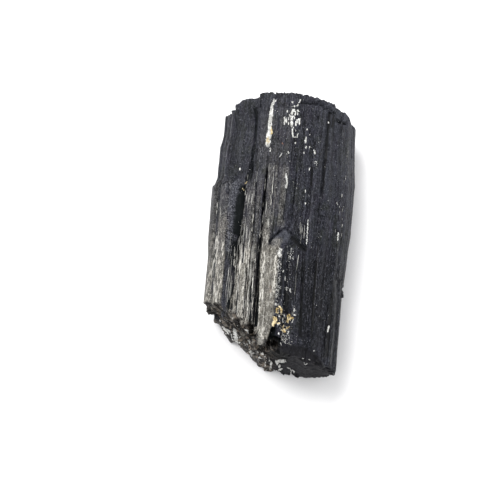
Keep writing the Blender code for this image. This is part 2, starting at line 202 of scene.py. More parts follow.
def line_distance(pixels, line):
    """Distance of each pixel from a line of pixels."""
    nearest = np.full(len(pixels), 1e9)
    for start, end in zip(line[:-1], line[1:]):
        start = np.array(start)
        run = np.array(end) - start
        share = np.clip((pixels - start) @ run / (run @ run), 0, 1)
        away = pixels - start - share[:, None] * run
        nearest = np.minimum(nearest, np.sqrt((away ** 2).sum(1)))
    return nearest


def seen_share(normal):
    """1 where the surface faces the photograph's camera, 0 where it is turned away."""
    return smooth_step(0.02, 0.20, normal @ np.array(camera_axes()[2]))


# ---------------------------------------- places read from the photograph, and zones in mm
# Zones where a thin grey-tan film covers the black, lightened with painted sheen as well, in mm:
# sides across the crystal, ends along it, strength, softness of the ends.
FILM_AND_SHEEN_ZONES = {
    "slab_low": (-25.0, -17.6, -37.0, -12.0, 0.95, 6.0),
    "slab_middle": (-25.0, -17.8, -16.0, 2.0, 0.52, 4.0),
    "slab_top": (-25.0, -18.4, 0.0, 15.0, 0.17, 1.5),
    "left_bank": (-15.6, -8.0, -42.0, -10.0, 1.0, 6.0),
    "left_bank_top": (-14.5, -8.0, -14.0, 12.0, 0.23, 5.0),
    "bright_rib": (-7.2, -0.3, -46.0, -10.3, 1.0, 0.6),
    "bright_rib_top": (-7.2, -4.0, -14.0, -2.0, 0.70, 4.0),
    "rib_above": (-7.2, 0.5, -3.6, 18.0, 0.27, 2.0),
    "block": (-10.5, 0.0, 14.0, 38.0, 0.08, 5.0),
}

# Zones of pale bluish dust on the black (strength above 0) and of painted shade, a deeper black on
# the flanks that face right, beside the point, in the recess and at the lower end (strength below 0),
# given like the film and sheen zones.
DUST_AND_SHADE_ZONES = {
    "upper_left": (-25.0, -9.0, 15.0, 46.0, -0.30, 4.0),
    "ledge": (-22.5, -14.5, 4.0, 15.5, 0.22, 2.0),
    "top_rim": (-2.0, 25.0, 39.5, 47.0, 0.35, 1.0),
    "right_upper": (9.0, 25.0, -6.0, 44.0, 0.35, 6.0),
    "right_middle": (9.5, 25.0, -10.0, 9.0, -0.35, 4.0),
    "right_low": (9.5, 25.0, -43.0, -9.0, -0.80, 6.0),
    "flank": (2.5, 8.5, -30.0, -9.0, -0.55, 2.0),
    "beside_point": (3.2, 9.0, -9.5, 0.0, -0.80, 1.5),
    "lower_end": (0.0, 25.0, -47.0, -42.0, -0.20, 2.0),
}

# How far the outline moves, in mm, to follow the photograph's: a row or a column of its
# pixels, and the move there, to the right or down the photograph.
LEFT_EDGE = (
    (95, -0.5), (107, -0.4), (114, 0.8), (136, 0.8), (148, 0.0), (178, 0.0), (187, -1.0),
    (212, -0.8), (240, -0.6), (256, 0.0),
)
RIGHT_EDGE = (
    (104, 0.0), (113, -0.6), (130, -0.9), (152, -0.5), (170, 0.0), (186, 0.6), (238, 0.6),
    (252, 0.2), (270, 0.1), (284, -0.2), (292, 0.0), (300, 0.3), (335, 0.4), (370, 0.2),
)
LOWER_EDGE = (
    (208, 0.0), (214, -2.0), (218, -2.4), (224, -1.7), (232, -1.5), (244, -1.2), (250, -0.4),
    (256, 0.0), (268, 0.2), (276, 0.8), (284, 1.2), (290, 1.2), (296, 0.7), (300, 1.2),
    (306, 1.9), (314, 1.9), (320, 1.5), (326, 0.5), (331, 0.0),
)
BREAK_END = 262.0
# The same for the upper edge of the right flank, which runs on past the lower end's face.
FLANK_EDGE = ((316, 0.0), (323, 1.4), (330, 2.6), (338, 2.6))

# The lower end is a low smooth dome below this line of pixels.
DOME_EDGE = (
    (262, 352), (272, 348), (281, 344), (300, 345), (310, 349), (318, 355), (323, 362),
    (328, 374), (345, 400),
)
DOME_DROP = 2.4

# The rough wall beside the open gap on the left.
WALL_LINE = (
    (228.5, 186.5), (238.0, 183.5), (231.6, 199.0), (229.2, 222.0), (227.4, 248.0),
)
WALL_REACH = 3.8
RIDGE_LINE = ((279.6, 250.0), (278.2, 275.0), (276.8, 300.0))
RIDGE_REACH = 3.0

# The end of the short crystal: the pixels of the photograph its facets lie along.
CHEVRON_LINE = ((276.0, 240.0), (285.5, 235.0), (297.5, 242.0))
CHEVRON_REACH = 7.0
# The facet of it that faces the light, which is painted lighter: painted light.
LIT_FACET_LINE = ((273.5, 241.2), (279.5, 241.0))
LIT_FACET_REACH = 3.2
RIB_TIP_LINE = ((263.5, 318.0), (262.0, 331.0), (260.6, 340.5))
RIB_TIP_REACH = 5.2

# Fine grooves (depth above 0) and ridges (below 0) that show in the photograph: half width in
# pixels, depth in mm, and the pixels of the groove's line.
CARVINGS = {
    "chevron_left": (1, 0.75, (269.4, 241), (275, 235.6), (279.6, 231.6)),
    "chevron_top": (0.8, 0.45, (279.6, 231.6), (285, 227.8), (288.4, 230.4)),
    "chevron_right": (1, 0.55, (288.4, 230.4), (294, 236), (301, 242.8), (306.6, 247.6)),
    "chevron_corner": (1, 0.6, (269, 241), (270.4, 243.8)),
    "chevron_foot": (1.5, 0.6, (301, 243.4), (305.8, 249.6)),
    "facet_edge": (0.8, 0.22, (281.2, 244.8), (286.8, 244), (296.4, 242.4)),
    "flank_edge": (1.3, 0.7, (286.6, 246), (284, 259), (282.2, 278), (281, 297)),
    "flank_floor": (2.6, 0.55, (289, 262), (286.6, 284), (285, 304)),
    "flank_line": (0.6, -0.15, (298.6, 255), (296.4, 270.5), (294.5, 297)),
    "flank_line_left": (0.7, 0.45, (296, 259), (294.8, 287), (293, 298)),
    "main_groove": (
        1.1, 1.1, (267.2, 168.3), (265.7, 181), (264.6, 200), (262, 229), (258.9, 259),
        (257.3, 278), (256.2, 291), (254.5, 306.6), (253.8, 322),
    ),
    "main_groove_low": (1.9, 1.6, (260.4, 236), (258.2, 262), (256.8, 290), (255.2, 325)),
    "thin_rib_left": (1.2, 1.5, (252, 262), (250.8, 276), (249.6, 297), (248.4, 325)),
    "thin_rib": (0.8, -0.35, (255, 262), (252.9, 290), (251.4, 322)),
    "bank_line_a": (0.8, 0.55, (246, 206), (244.6, 232), (242.2, 262)),
    "bank_line_b": (0.9, 0.8, (237.6, 229), (236.2, 255), (234.6, 270)),
    "bank_line_c": (0.8, 0.5, (256.5, 182), (254.5, 214), (251, 250)),
    "bank_line_d": (0.9, 0.7, (232.4, 272), (230.2, 290), (229.4, 308)),
    "bank_line_e": (0.6, 0.4, (246.8, 268), (244.8, 292), (243, 316)),
    "bank_line_f": (0.6, 0.45, (238.6, 276), (236.4, 300), (235.4, 316)),
    "gap_wall": (
        4.6, 2.8, (241.4, 190), (239.4, 197), (238.2, 208), (237.2, 218), (236.6, 230),
        (234.6, 244), (232.4, 262),
    ),
    "gap_low": (2.4, 1.9, (232, 258), (229.6, 284), (227.6, 306)),
    "gap_low_left": (0.6, 0.6, (227.4, 256), (225, 280), (223.4, 300)),
    "gap_low_right": (0.6, 0.5, (234.4, 262), (231.6, 284), (230, 304)),
    "block_left": (
        1.3, 0.95, (254.2, 107), (256, 123), (255.2, 142), (252.8, 152), (250.4, 166), (246.6, 179),
    ),
    "block_edge": (0.7, 0.35, (261.4, 97), (260.4, 106), (259.6, 133)),
    "streak_side": (0.8, 0.4, (278.8, 118), (278.5, 139)),
    "middle_line": (0.6, 0.25, (274.8, 160), (273.6, 186), (271.6, 214)),
    "middle_ridge": (0.5, -0.15, (272.3, 160), (271.4, 196)),
    "tone_edge": (1.1, 0.45, (287.8, 186), (286.4, 200), (284, 219)),
    "crest_edge": (0.8, 0.25, (293.5, 138), (291.4, 165), (288.6, 186)),
    "ledge_slit": (1.2, 1.6, (227.6, 182.6), (227.1, 192.4)),
    "right_groove": (1.6, 0.4, (329.8, 114), (327.8, 133), (325.4, 158)),
    "right_groove_middle": (1.1, 0.22, (323.6, 166), (321.2, 184), (320, 196)),
    "right_groove_low": (1.3, 0.24, (318.8, 206), (316.6, 232)),
    "right_groove_b": (0.7, 0.25, (323.6, 109), (321.8, 134), (319.6, 160)),
    "right_groove_c": (0.8, 0.3, (312.4, 190), (309.6, 218), (309, 246)),
    "right_groove_d": (0.9, 0.35, (318.6, 246), (316.4, 272), (314.2, 300), (312, 330)),
    "right_groove_e": (0.8, 0.3, (303.4, 254), (301.6, 284), (300, 318)),
    "right_groove_f": (1.1, 0.6, (331.6, 298), (329.4, 318), (327.6, 336), (325.8, 360)),
    "right_groove_g": (0.7, 0.25, (338.6, 180), (336.4, 214), (333.4, 250)),
    "right_groove_h": (0.8, 0.35, (325.8, 260), (322.6, 296), (319.4, 336)),
    "rim_crack": (
        1.25, 1, (302, 102), (310.7, 102.7), (320.3, 104.6), (327.9, 109), (334.6, 113.7),
        (338.4, 120.8), (346, 123.5),
    ),
    "cavity_left": (2.6, 2.6, (251.2, 327.4), (251, 333.6)),
    "cavity_tip": (4.4, 3.2, (272.6, 341.6), (275.6, 341.2)),
    "tip_right": (2.6, 2.2, (273, 330), (271.4, 337), (268.6, 346)),
    "under_tip": (1.8, 1.6, (258.6, 347.6), (264.6, 348.8)),
}

# Mineral patches on the crystal, group by group. Each has a half width in pixels, a number of
# grains for each square pixel, and the pixels of its line. A crowded patch also colours the
# surface under its grains, apart from the groups that are made of grains only.
SPARSE = 0.6
GRAINS_ONLY = ("cross", "round_clumps", "lower_end", "clumps")
MINERALS = {
    "white": {
        "streak": (
            (1.7, 3, (275.1, 99.8), (273.4, 102.5), (272.3, 106), (271.4, 114)),
            (2.3, 3, (271.4, 113), (270.4, 120), (269.8, 127), (270.3, 134)),
            (2.9, 3, (269.8, 132), (268.4, 138), (268, 144.8)), (0.7, 2, (270.5, 148), (270.1, 152)),
            (0.7, 2, (266.8, 133.8), (267.4, 136)),
        ),
        "cross": (
            (0.7, 6, (292.4, 101.4), (292.4, 102.8)), (0.7, 6, (294.4, 106), (294.6, 106.8)),
            (0.5, 2, (292, 106.4), (292.8, 106.4)), (0.7, 3, (300.4, 99.4), (299.2, 103)),
            (0.7, 4, (298.4, 104.4), (297.2, 106)), (0.8, 5, (297.2, 110.2), (299, 111.6)),
            (0.6, 4, (297.7, 113), (297.7, 114.6)),
            (1.3, 5, (293.6, 109.4), (292.2, 112), (291.8, 114.2)),
            (0.7, 4, (294.6, 109.8), (295.4, 113), (295, 115.4)),
            (0.8, 5, (289.4, 115.2), (290.6, 116.4), (294, 116.4)),
            (0.6, 4, (294.5, 117.6), (294.5, 118.6)), (1.2, 5, (291.9, 117.6), (291.7, 120.4)),
            (1.4, 6, (291.9, 121.8), (291.6, 126)), (0.6, 3, (288.7, 117.6), (288.6, 119.6)),
            (0.5, 3, (288.5, 122), (288.4, 124.8)),
            (0.7, 6, (284.6, 117.2), (284.8, 121), (284.4, 124.2)),
            (0.7, 6, (286.4, 118.2), (286.6, 122.6)), (0.6, 5, (285, 120), (286, 121.6)),
            (0.6, 5, (287.4, 110.2), (287.4, 112.2)), (0.8, 6, (295.9, 121.4), (295.8, 125.8)),
            (0.9, 6, (296.6, 120.2), (298, 119.8), (300, 119)), (0.8, 4, (297.6, 121), (298, 123)),
            (0.7, 6, (299.6, 119.4), (299.4, 124.6)), (0.6, 5, (293.2, 127.4), (293.6, 127.8)),
            (0.8, 5, (292.4, 128.8), (292.6, 133), (292.8, 136), (294, 137.6)),
            (0.6, 3, (294.6, 137.2), (297, 137.2), (297.7, 133.6)),
            (1.2, 0.5, (295.4, 129), (295.8, 131.6)),
        ),
        "specks": (
            (0.7, 2, (295.4, 142.8), (295.5, 144)), (0.7, 2, (307.3, 129), (307.2, 130)),
            (0.9, 2, (306, 137.2), (305.6, 143)), (0.5, 2, (309.6, 134.6), (309.8, 135.4)),
            (0.7, 2, (306.4, 145.8), (305.6, 149)), (0.5, 2, (309.4, 146.8), (309.6, 148)),
            (0.5, 2, (303.8, 152), (304, 153.2)), (0.95, 2, (313.7, 150.6), (315.4, 153.6)),
            (1.3, 0.59, (313, 163.2), (314.6, 161.4), (317, 162), (316, 164.4)),
            (0.6, 2, (309.8, 167.6), (309.2, 170.6)), (0.7, 2, (288.4, 151.4), (288.8, 153.4)),
            (0.4, 2, (282, 153.2), (279.6, 157)), (0.9, 2, (239.9, 168.8), (240, 169.8)),
            (1.1, 2, (285.6, 174), (286.2, 178), (287.4, 182.6)), (1, 2, (287, 184), (285.8, 187.6)),
            (0.6, 2, (305.4, 202.8), (305.3, 204.4)), (0.5, 2, (305.6, 190), (305.4, 192.6)),
            (0.5, 2, (337, 202), (337.2, 204.5)), (0.55, 2, (307.9, 219.5), (307.6, 230), (306.6, 244)),
        ),
        "ridge": (
            (2, 1.6, (280.6, 249), (279.6, 252.6), (280, 256.4)),
            (1, 0.59, (277.4, 251.4), (278.6, 254)), (1.2, 0.59, (278.8, 261), (277.4, 268)),
            (0.6, 0.59, (280.2, 262.4), (280, 265)), (1.1, 0.59, (279.4, 276), (278.4, 282)),
            (0.9, 0.59, (276.4, 280), (276, 286)), (1.1, 0.59, (277.4, 290), (276, 298)),
            (0.8, 0.59, (280, 286.4), (279.4, 289)),
        ),
        "flank": (
            (1.5, 0.59, (290.4, 246), (291.2, 252.4), (289.2, 260)),
            (1.2, 0.5, (287.6, 252.8), (288, 256)), (1, 0.4, (293.6, 252), (292.8, 260)),
            (0.8, 2, (285.2, 276), (284.6, 280.6)), (0.6, 2, (283, 270.2), (283.4, 272)),
            (0.7, 2, (289.6, 288.4), (290.6, 292.4)), (0.6, 2, (286.4, 287.4), (286.6, 290.6)),
        ),
        "right_side": (
            (0.6, 2, (338.2, 232.5), (337.6, 240.5)), (1, 2, (328.7, 326), (328.1, 331.4)),
        ),
        "round_clumps": (
            (0.7, 4, (294.4, 308.6), (294.2, 311)), (0.8, 2.5, (282.8, 318), (282.8, 321.8)),
            (0.8, 4, (279, 316.2), (279.4, 316.8)), (0.8, 3, (275.4, 303.4), (276.2, 305)),
            (0.9, 3, (278.8, 333), (278.6, 334.4)), (0.6, 2.5, (284.4, 315), (284.2, 317)),
            (0.6, 2.5, (288.8, 331), (287.4, 334.4)), (0.7, 2, (293, 319.8), (292.4, 322.6)),
            (0.7, 2.5, (294.8, 315), (295.2, 315.8)), (0.6, 3, (284.4, 342), (284.8, 342.6)),
            (0.6, 2.5, (280.2, 342.6), (281, 344.6)), (0.8, 2, (279.6, 323.4), (277.4, 324.8)),
            (0.6, 0.59, (286.6, 335), (285, 338), (287, 340), (289.6, 338.4), (288.6, 335.4)),
        ),
        "break": (
            (1.9, 3, (223.6, 328.2), (229, 332)), (2.4, 3.4, (234.6, 330), (236, 339)),
            (1.2, 3, (236.4, 341), (238.6, 343.8)), (0.9, 2, (231, 334), (232.4, 338)),
            (1, 2, (248.8, 340), (250.2, 343.4)), (1, 2, (250, 351.5), (252, 356)),
            (1.2, 4, (262.4, 353.8), (263.4, 354.2)),
            (1, 1.4, (243.6, 329.4), (248, 330.6), (248.4, 334)), (2, 0.5, (242.6, 341), (249.6, 347)),
        ),
        "lower_end": (
            (1.9, 4.5, (276.6, 361.8), (280.6, 361), (285, 361)), (1.2, 4, (276.4, 361), (277.4, 364)),
            (0.8, 1.5, (269.8, 359.8), (268.8, 361.4)),
            (1.1, 5, (271.6, 362.4), (270.9, 365.6), (270.4, 368.4)),
            (0.6, 3, (265.2, 363.6), (265.2, 366)), (1.1, 4.5, (279.6, 365.2), (279.4, 367.6)),
            (1, 4.5, (279, 370), (281.8, 368.8)),
            (0.6, 3, (287, 367.4), (289.6, 368.4), (291, 370.4), (291.2, 373.4)),
            (0.7, 3.5, (292, 370), (294.2, 371), (293.6, 372.8)),
            (0.5, 3, (304.2, 363), (305.8, 364.6), (307.4, 363.4)),
            (0.6, 3, (309, 359.4), (309.8, 359.8)), (0.5, 2, (312.8, 351.6), (314.4, 350.4)),
            (1, 0.5, (302.2, 357.4), (302.8, 358.8)),
        ),
        "scatter": (
            (0.6, 3, (328.3, 122), (328.7, 123.6)), (6.5, 0.1, (279, 304), (282, 318), (286, 334)),
            (4.5, 0.22, (282, 334), (288, 343)), (2.6, 0.35, (280, 248), (279, 272), (277, 300)),
            (3.5, 0.1, (290, 250), (288, 272), (285, 298)),
            (6, 0.015, (296, 132), (286, 172), (306, 200)),
        ),
    },
    "ochre": {
        "clumps": (
            (1.1, 3.2, (278.4, 306.6), (280.6, 307.4), (281.6, 310), (281.2, 313.8)),
            (0.8, 3.2, (276.6, 308), (276.4, 312)), (0.9, 1, (278.2, 308), (278.2, 313)),
            (1.9, 3.4, (273.8, 317.4), (275.8, 319.6), (274.8, 321.6), (273, 324.6)),
            (1, 3, (273, 324), (273.2, 326.4)), (1, 2.6, (276.8, 322.8), (279.4, 323.6)),
            (0.9, 3.4, (287.6, 315), (287.8, 319), (287.6, 322.8)),
            (1, 3.4, (288.8, 314.6), (290.6, 316.6), (289.4, 320)),
            (1.2, 3.6, (290.8, 318), (293.2, 318.4)), (1, 3.2, (281.2, 329.8), (283.6, 331.6)),
            (1.2, 3, (284, 328.6), (285.4, 332.6)), (0.8, 2.6, (286.2, 328.8), (290, 326.6)),
            (0.6, 2.6, (282.4, 327.2), (283.6, 325.6)),
        ),
        "scatter": (
            (6, 0.05, (277, 312), (284, 322), (289, 330)),
        ),
        "stains": (
            (0.9, 3, (271.6, 127), (271.9, 134.2)), (1.8, 0.7, (267.6, 138), (268.4, 144)),
        ),
        "gap": (
            (0.5, 1.4, (241.6, 188.2), (243.4, 189.2), (243.8, 190.6)),
            (0.4, 1.4, (245, 183.6), (247.4, 181.6)),
        ),
    },
}

# Patches of colour alone: half width in pixels, and the pixels of the patch's line. The dark
# patches are painted shade in the cavities at the lower end, in the grooves and beside the point;
# the silver lines are partly a mica coating and partly painted sheen.
TONES = {
    "dark": (
        (5, (268, 341), (276, 343)), (4.2, (263, 350), (272, 353), (284, 356.5)),
        (3, (250.5, 326), (251.5, 334)),
        (2.8, (286.8, 294), (286, 311)),
        (1.5, (329.8, 113), (327.8, 134), (325.6, 158), (323.2, 178), (321.6, 196)),
        (1.2, (311.6, 168), (311.2, 186)), (0.9, (333.8, 112), (332.8, 126)),
        (1.6, (303.6, 262), (301.4, 300), (300.6, 336)), (1.3, (315.8, 262), (313.6, 300), (312, 336)),
        (1.4, (332.4, 292), (329.6, 322), (326.6, 356)), (1.4, (294.4, 139.6), (294.8, 142)),
        (2.2, (292, 238), (300, 246), (305, 250)),
    ),
    "rust": (
        (0.9, (282.3, 142), (282.9, 145)), (1.2, (262, 306), (263.6, 309)),
        (1.3, (270, 286), (270.6, 292)),
    ),
    "silver": (
        (1.6, (217.5, 236), (216.4, 250), (215.4, 263)), (1.2, (222.8, 240), (222.4, 256)),
        (1.4, (212.7, 274), (213.2, 284)), (1.5, (214.6, 288), (216.2, 304)),
        (1, (234.6, 254), (233.6, 269)), (1.2, (241, 256), (239.8, 277)),
        (1.1, (253.2, 214), (252.2, 249)), (1, (255.4, 257), (254.6, 274)),
        (1.4, (249.4, 268), (247.4, 318)), (1.3, (243, 286), (241.4, 318)),
        (1.2, (252.8, 276), (252, 324)), (3.6, (262.5, 326), (260, 343)),
        (0.7, (262.4, 262), (260.4, 290), (258.8, 318), (256.4, 338)),
        (0.5, (274.4, 162), (272.4, 190), (270.8, 206)), (1.6, (275.6, 256), (273.6, 292)),
        (1.1, (264.6, 250), (262, 300)),
    ),
}

# Zones of the surface's relief, in mm: sides across the crystal and their softness, ends
# along it and theirs.
RELIEF_ZONES = {
    "filled_rib": (-5.4, 1.0, 0.6, -34.0, -9.5, 1.5),
    "recess": (-25.0, -10.0, 1.0, 14.0, 46.0, 2.0),
    "even": (-5.8, 0.2, 0.5, -46.0, -9.5, 1.0),
    "lumpy": (-23.0, -9.5, 1.5, 15.0, 42.0, 2.0),
    "grainy": (-3.0, 7.5, 1.5, -3.0, 42.0, 3.0),
}
# Three sizes of striations: seed, range of widths, spread of their levels, range of the
# grooves' depths, range of the lengths between steps, spread of the steps.
STRIATIONS = (
    (21, (1.8, 4.2), 0.07, (0.00, 0.16), (20, 60), 0.05),
    (22, (0.7, 1.6), 0.035, (0.00, 0.11), (14, 50), 0.03),
    (23, (0.30, 0.70), 0.022, (0.00, 0.09), (8, 30), 0.014),
)
STEPS = 4
FIBRE_SEED = 5
FIBRES = 260
FIBRE_WIDTHS = (0.25, 1.5)
BROAD_STEP = 4.0
BROAD_COUNT = 40


# ------------------------------------------------------------- the solid, in millimetres
def mesh_tree(mesh):
    points = np.empty(len(mesh.vertices) * 3)
    mesh.vertices.foreach_get("co", points)
    return BVHTree.FromPolygons(
        (points.reshape(-1, 3) / MM).tolist(), [tuple(face.vertices) for face in mesh.polygons]
    )


def column_angles(tree):
    """Angles of the columns, closer together on the upper side, with the girth up to each,
    the radius at each and the whole girth."""
    angles = np.linspace(-math.pi / 2, 1.5 * math.pi, GIRTH_CASTS, endpoint=False)
    radius = [
        [
            tree.ray_cast((0, along, AXIS_HEIGHT), (math.cos(angle), 0, math.sin(angle)))[3]
            for angle in angles
        ]
        for along in GIRTH_PLACES
    ]
    mean = np.median(radius, 0)
    width = 2 * GIRTH_BLUR + 1
    padded = np.concatenate([mean[-GIRTH_BLUR:], mean, mean[:GIRTH_BLUR]])
    mean = np.convolve(padded, np.ones(width) / width, "valid")
    step = mean * 2 * math.pi / GIRTH_CASTS
    height = AXIS_HEIGHT + mean * np.sin(angles)
    dense = UNDERSIDE_DENSITY + (1 - UNDERSIDE_DENSITY) * smooth_step(4, 11, height)
    weighted = np.concatenate([[0], np.cumsum(step * dense)])
    girth = np.concatenate([[0], np.cumsum(step)])
    casts = np.arange(GIRTH_CASTS + 1)
    place = np.interp(np.arange(COLUMNS) / COLUMNS * weighted[-1], weighted, casts)
    angle = -math.pi / 2 + place / GIRTH_CASTS * 2 * math.pi
    arc = np.interp(place, casts, girth)
    return angle, arc, np.interp(place, casts, np.append(mean, mean[0])), girth[-1]


def net_layout(radius):
    """Every ray's lean and its start along the axis, how far along the crystal it reaches,
    and how far in over an end's rim."""
    cap_rows = int((END_REACH + radius.mean()) / CAP_STEP)
    length = np.linspace(0, 1, cap_rows + 1)[1:-1, None] * (END_REACH + radius)
    rise = np.where(
        length < END_REACH,
        np.arctan2(length, radius),
        np.arctan2(END_REACH, np.maximum(radius + END_REACH - length, 1e-3)),
    )
    side = np.linspace(-HUB, HUB, int(2 * HUB / ROW_STEP) + 1)[:, None] * np.ones((1, COLUMNS))
    level = np.zeros_like(side)
    past = np.minimum(length, END_REACH)
    lean = np.concatenate([-rise[::-1], level, rise])
    origin = np.concatenate([np.full_like(length, -HUB), side, np.full_like(length, HUB)])
    reach = np.concatenate([-HUB - past[::-1], side, HUB + past])
    inland = np.concatenate([length[::-1], level, length])
    return lean, origin, reach, inland


def ragged_shift(arc, across, reach, inland):
    """How far the surface moves along the crystal, because fibres of uneven length make
    every end and ledge ragged."""
    rng = np.random.default_rng(FIBRE_SEED)
    edges = np.cumsum(rng.uniform(*FIBRE_WIDTHS, FIBRES))
    fibre = rng.uniform(-1, 1, FIBRES + 1)[np.searchsorted(edges, arc)]
    broad_places = np.arange(BROAD_COUNT) * BROAD_STEP
    broad = np.interp(arc, broad_places, rng.uniform(-1, 1, BROAD_COUNT))
    ragged = 0.45 - 0.22 * smooth_step(28, 36, reach)
    ledge = smooth_step(-11, -14, across) * smooth_step(8, 12, reach)
    ragged += 0.15 * (ledge * smooth_step(26, 22, reach))
    pointed = smooth_step(-8, -5, across) * smooth_step(12, 9, across)
    pointed = pointed * (smooth_step(-18, -14, reach) * smooth_step(12, 8, reach))
    ragged *= 1 - 0.75 * pointed
    ragged += 0.35 * smooth_step(-34, -40, reach)
    ragged *= smooth_step(END_REACH + 1.6, END_REACH + 0.2, inland)
    return ragged * (0.8 * fibre + 0.3 * broad)


def cast_net(tree, angle, lean, origin):
    """Start and direction of every ray, and the place and the solid's normal where it hits."""
    outward = np.stack([
        np.cos(angle) * np.cos(lean), np.sin(lean), np.sin(angle) * np.cos(lean),
    ], -1).reshape(-1, 3)
    start = np.zeros_like(outward)
    start[:, 1] = origin.reshape(-1)
    start[:, 2] = AXIS_HEIGHT
    place = np.empty_like(outward)
    normal = np.empty_like(outward)
    for index, (begin, aim) in enumerate(zip(start.tolist(), outward.tolist())):
        place[index], normal[index] = tree.ray_cast(begin, aim)[:2]
    return start, outward, place, normal


def outline_moved(points):
    """The points with the crystal's outline moved to where the photograph has it."""
    pixels = to_pixels(points)
    moved = points.copy()
    left = np.interp(pixels[:, 1], *zip(*LEFT_EDGE)) * smooth_step(-8, -18, points[:, 0])
    right = np.interp(pixels[:, 1], *zip(*RIGHT_EDGE)) * smooth_step(8, 18, points[:, 0])
    moved[:, 0] += left + right
    lower = np.interp(pixels[:, 0], *zip(*LOWER_EDGE))
    end = smooth_step(-30, -43, points[:, 1])
    lower += np.interp(pixels[:, 0], *zip(*FLANK_EDGE)) * smooth_step(9, 16, points[:, 2])
    oblique = smooth_step(21, 8, points[:, 2]) * smooth_step(-16, -27, points[:, 1])
    moved[:, 1] -= lower * np.where(pixels[:, 0] < BREAK_END, oblique, end)
    return moved


def relief_zone(name, points):
    left, right, side_soft, low, high, end_soft = RELIEF_ZONES[name]
    share = zone_share(points[:, 0], left, right, side_soft)
    return share * zone_share(points[:, 1], low, high, end_soft)


def near_line(points, line, reach, fade):
    """1 on a line of pixels, falling to 0 beyond the reach, in pixels."""
    return np.clip(fade - line_distance(to_pixels(points), line) / reach, 0, 1)


def zone_field(points, zones, pick):
    field = np.zeros(len(points))
    ragged = soft_noise(points, (0.9, 14.0, 0.9), 141) + 0.6 * soft_noise(points, (3, 9, 3), 142)
    side = smooth_step(24.0, 16.0, points[:, 2])
    for left, right, low, high, strength, soft in zones.values():
        along = points[:, 1] + ragged * (0.4 * soft + 4.0 * side)
        zone = zone_share(points[:, 0], left, right, 0.5) * zone_share(along, low, high, soft)
        field = pick(field, strength * zone)
    return field


def patch_masks(points, seen):
    """How far each point lies inside a film and sheen zone, a dust and shade zone, a mineral patch or a
    patch of colour.
    """
    upper = smooth_step(5.0, 9.0, points[:, 2])
    masks = {
        "film_and_sheen": zone_field(points, FILM_AND_SHEEN_ZONES, np.maximum) * upper,
        "dust_and_shade": zone_field(points, DUST_AND_SHADE_ZONES, np.add) * upper,
    }
    painted = dict(TONES)
    for kind, groups in MINERALS.items():
        painted[kind] = [
            (half_width, *line)
            for group, patches in groups.items() if group not in GRAINS_ONLY
            for half_width, crowd, *line in patches if crowd >= SPARSE
        ]
    pixels = to_pixels(points)
    for kind, patches in painted.items():
        mask = np.zeros(len(points))
        for half_width, *line in patches:
            reach = line_distance(pixels, line) / half_width
            mask = np.maximum(mask, np.clip(1.5 - reach, 0, 1))
        masks[kind] = mask * (seen * upper)
    return masks


class Strips:
    """Uneven lands along the crystal with a groove between each two.

    Every land has its own level, lean and crown, and steps up or down at a few places
    along the crystal, some of them sharp and some drawn out.
    """

    def __init__(self, seed, total, widths, level, groove, step_gap, step):
        rng = np.random.default_rng(seed)
        low, high = widths
        size = np.exp(rng.uniform(math.log(low), math.log(high), int(total / low) + 2))
        edges = np.concatenate([[0], np.cumsum(size)])
        count = int(np.searchsorted(edges, total))
        self.edges = edges[:count + 1] * total / edges[count]
        self.width = np.diff(self.edges)
        self.level = rng.normal(0, level, count)
        self.lean = rng.normal(0, 0.10, count)
        self.crown = rng.uniform(-0.02, 0.05, count)
        self.groove = rng.uniform(*groove, count + 1)
        self.groove[-1] = self.groove[0]
        self.phase = rng.uniform(0, 900, count + 1)
        self.phase[-1] = self.phase[0]
        self.place = -46 + np.cumsum(rng.uniform(*step_gap, (count, STEPS)), 1)
        self.place -= rng.uniform(0, step_gap[1], (count, 1))
        self.jump = rng.normal(0, step, (count, STEPS))
        self.jump -= self.jump.mean(1, keepdims=True)
        self.ramp = np.exp(rng.uniform(math.log(0.25), math.log(9.0), (count, STEPS)))
        self.slant = rng.uniform(-2.5, 2.5, (count, STEPS))
        self.groove_half = 0.16 * low + 0.05

    def relief(self, arc, along):
        land = np.clip(np.searchsorted(self.edges, arc, "right") - 1, 0, len(self.width) - 1)
        width = self.width[land]
        share = (arc - self.edges[land]) / width
        middle = share - 0.5
        height = self.level[land] + width * (self.lean[land] * middle)
        height -= width * self.crown[land] * 4 * middle ** 2
        for number in range(STEPS):
            start = self.place[land, number] + self.slant[land, number] * middle * width
            height += self.jump[land, number] * np.clip(
                (along - start) / self.ramp[land, number], 0, 1
            )
        for side, near in ((0, share * width), (1, (1 - share) * width)):
            edge = land + side
            swell = 0.7 + 0.5 * np.sin(along * 0.11 + self.phase[edge])
            swell += 0.2 * np.sin(along * 0.31 + 3 * self.phase[edge])
            depth = self.groove[edge] * np.clip(swell, 0, None)
            height -= depth * np.clip(1 - near / self.groove_half, 0, 1)
        return height


def fill_gaps(place, outward, distance, broken):
    """Mostly fills the narrow gaps between crystals that grew together, but not the open
    ones on the lower left, and evens the rib."""
    east, north = [place[:, axis].reshape(distance.shape) for axis in (0, 1)]
    filled = smooth_step(1.5, 4.5, east) * 0.80
    filled = np.maximum(filled, smooth_step(-12.5, -10.5, east) * smooth_step(14, 18, north) * 0.9)
    filled = np.maximum(filled, 0.55 * smooth_step(-15.0, -13.0, east))
    filled = np.maximum(filled, 0.55 * smooth_step(-15.6, -16.6, east))
    filled *= 1 - 0.8 * smooth_step(0.02, 0.2, broken.reshape(distance.shape))
    lift = (closed_over(distance, 12) - distance) * filled
    rib = relief_zone("filled_rib", place).reshape(distance.shape)
    level = blurred(closed_over(distance, 40), 4, 6)
    lift = np.maximum(lift, (level - distance) * rib * 0.95)
    place += outward * lift.reshape(-1)[:, None]
    distance += lift


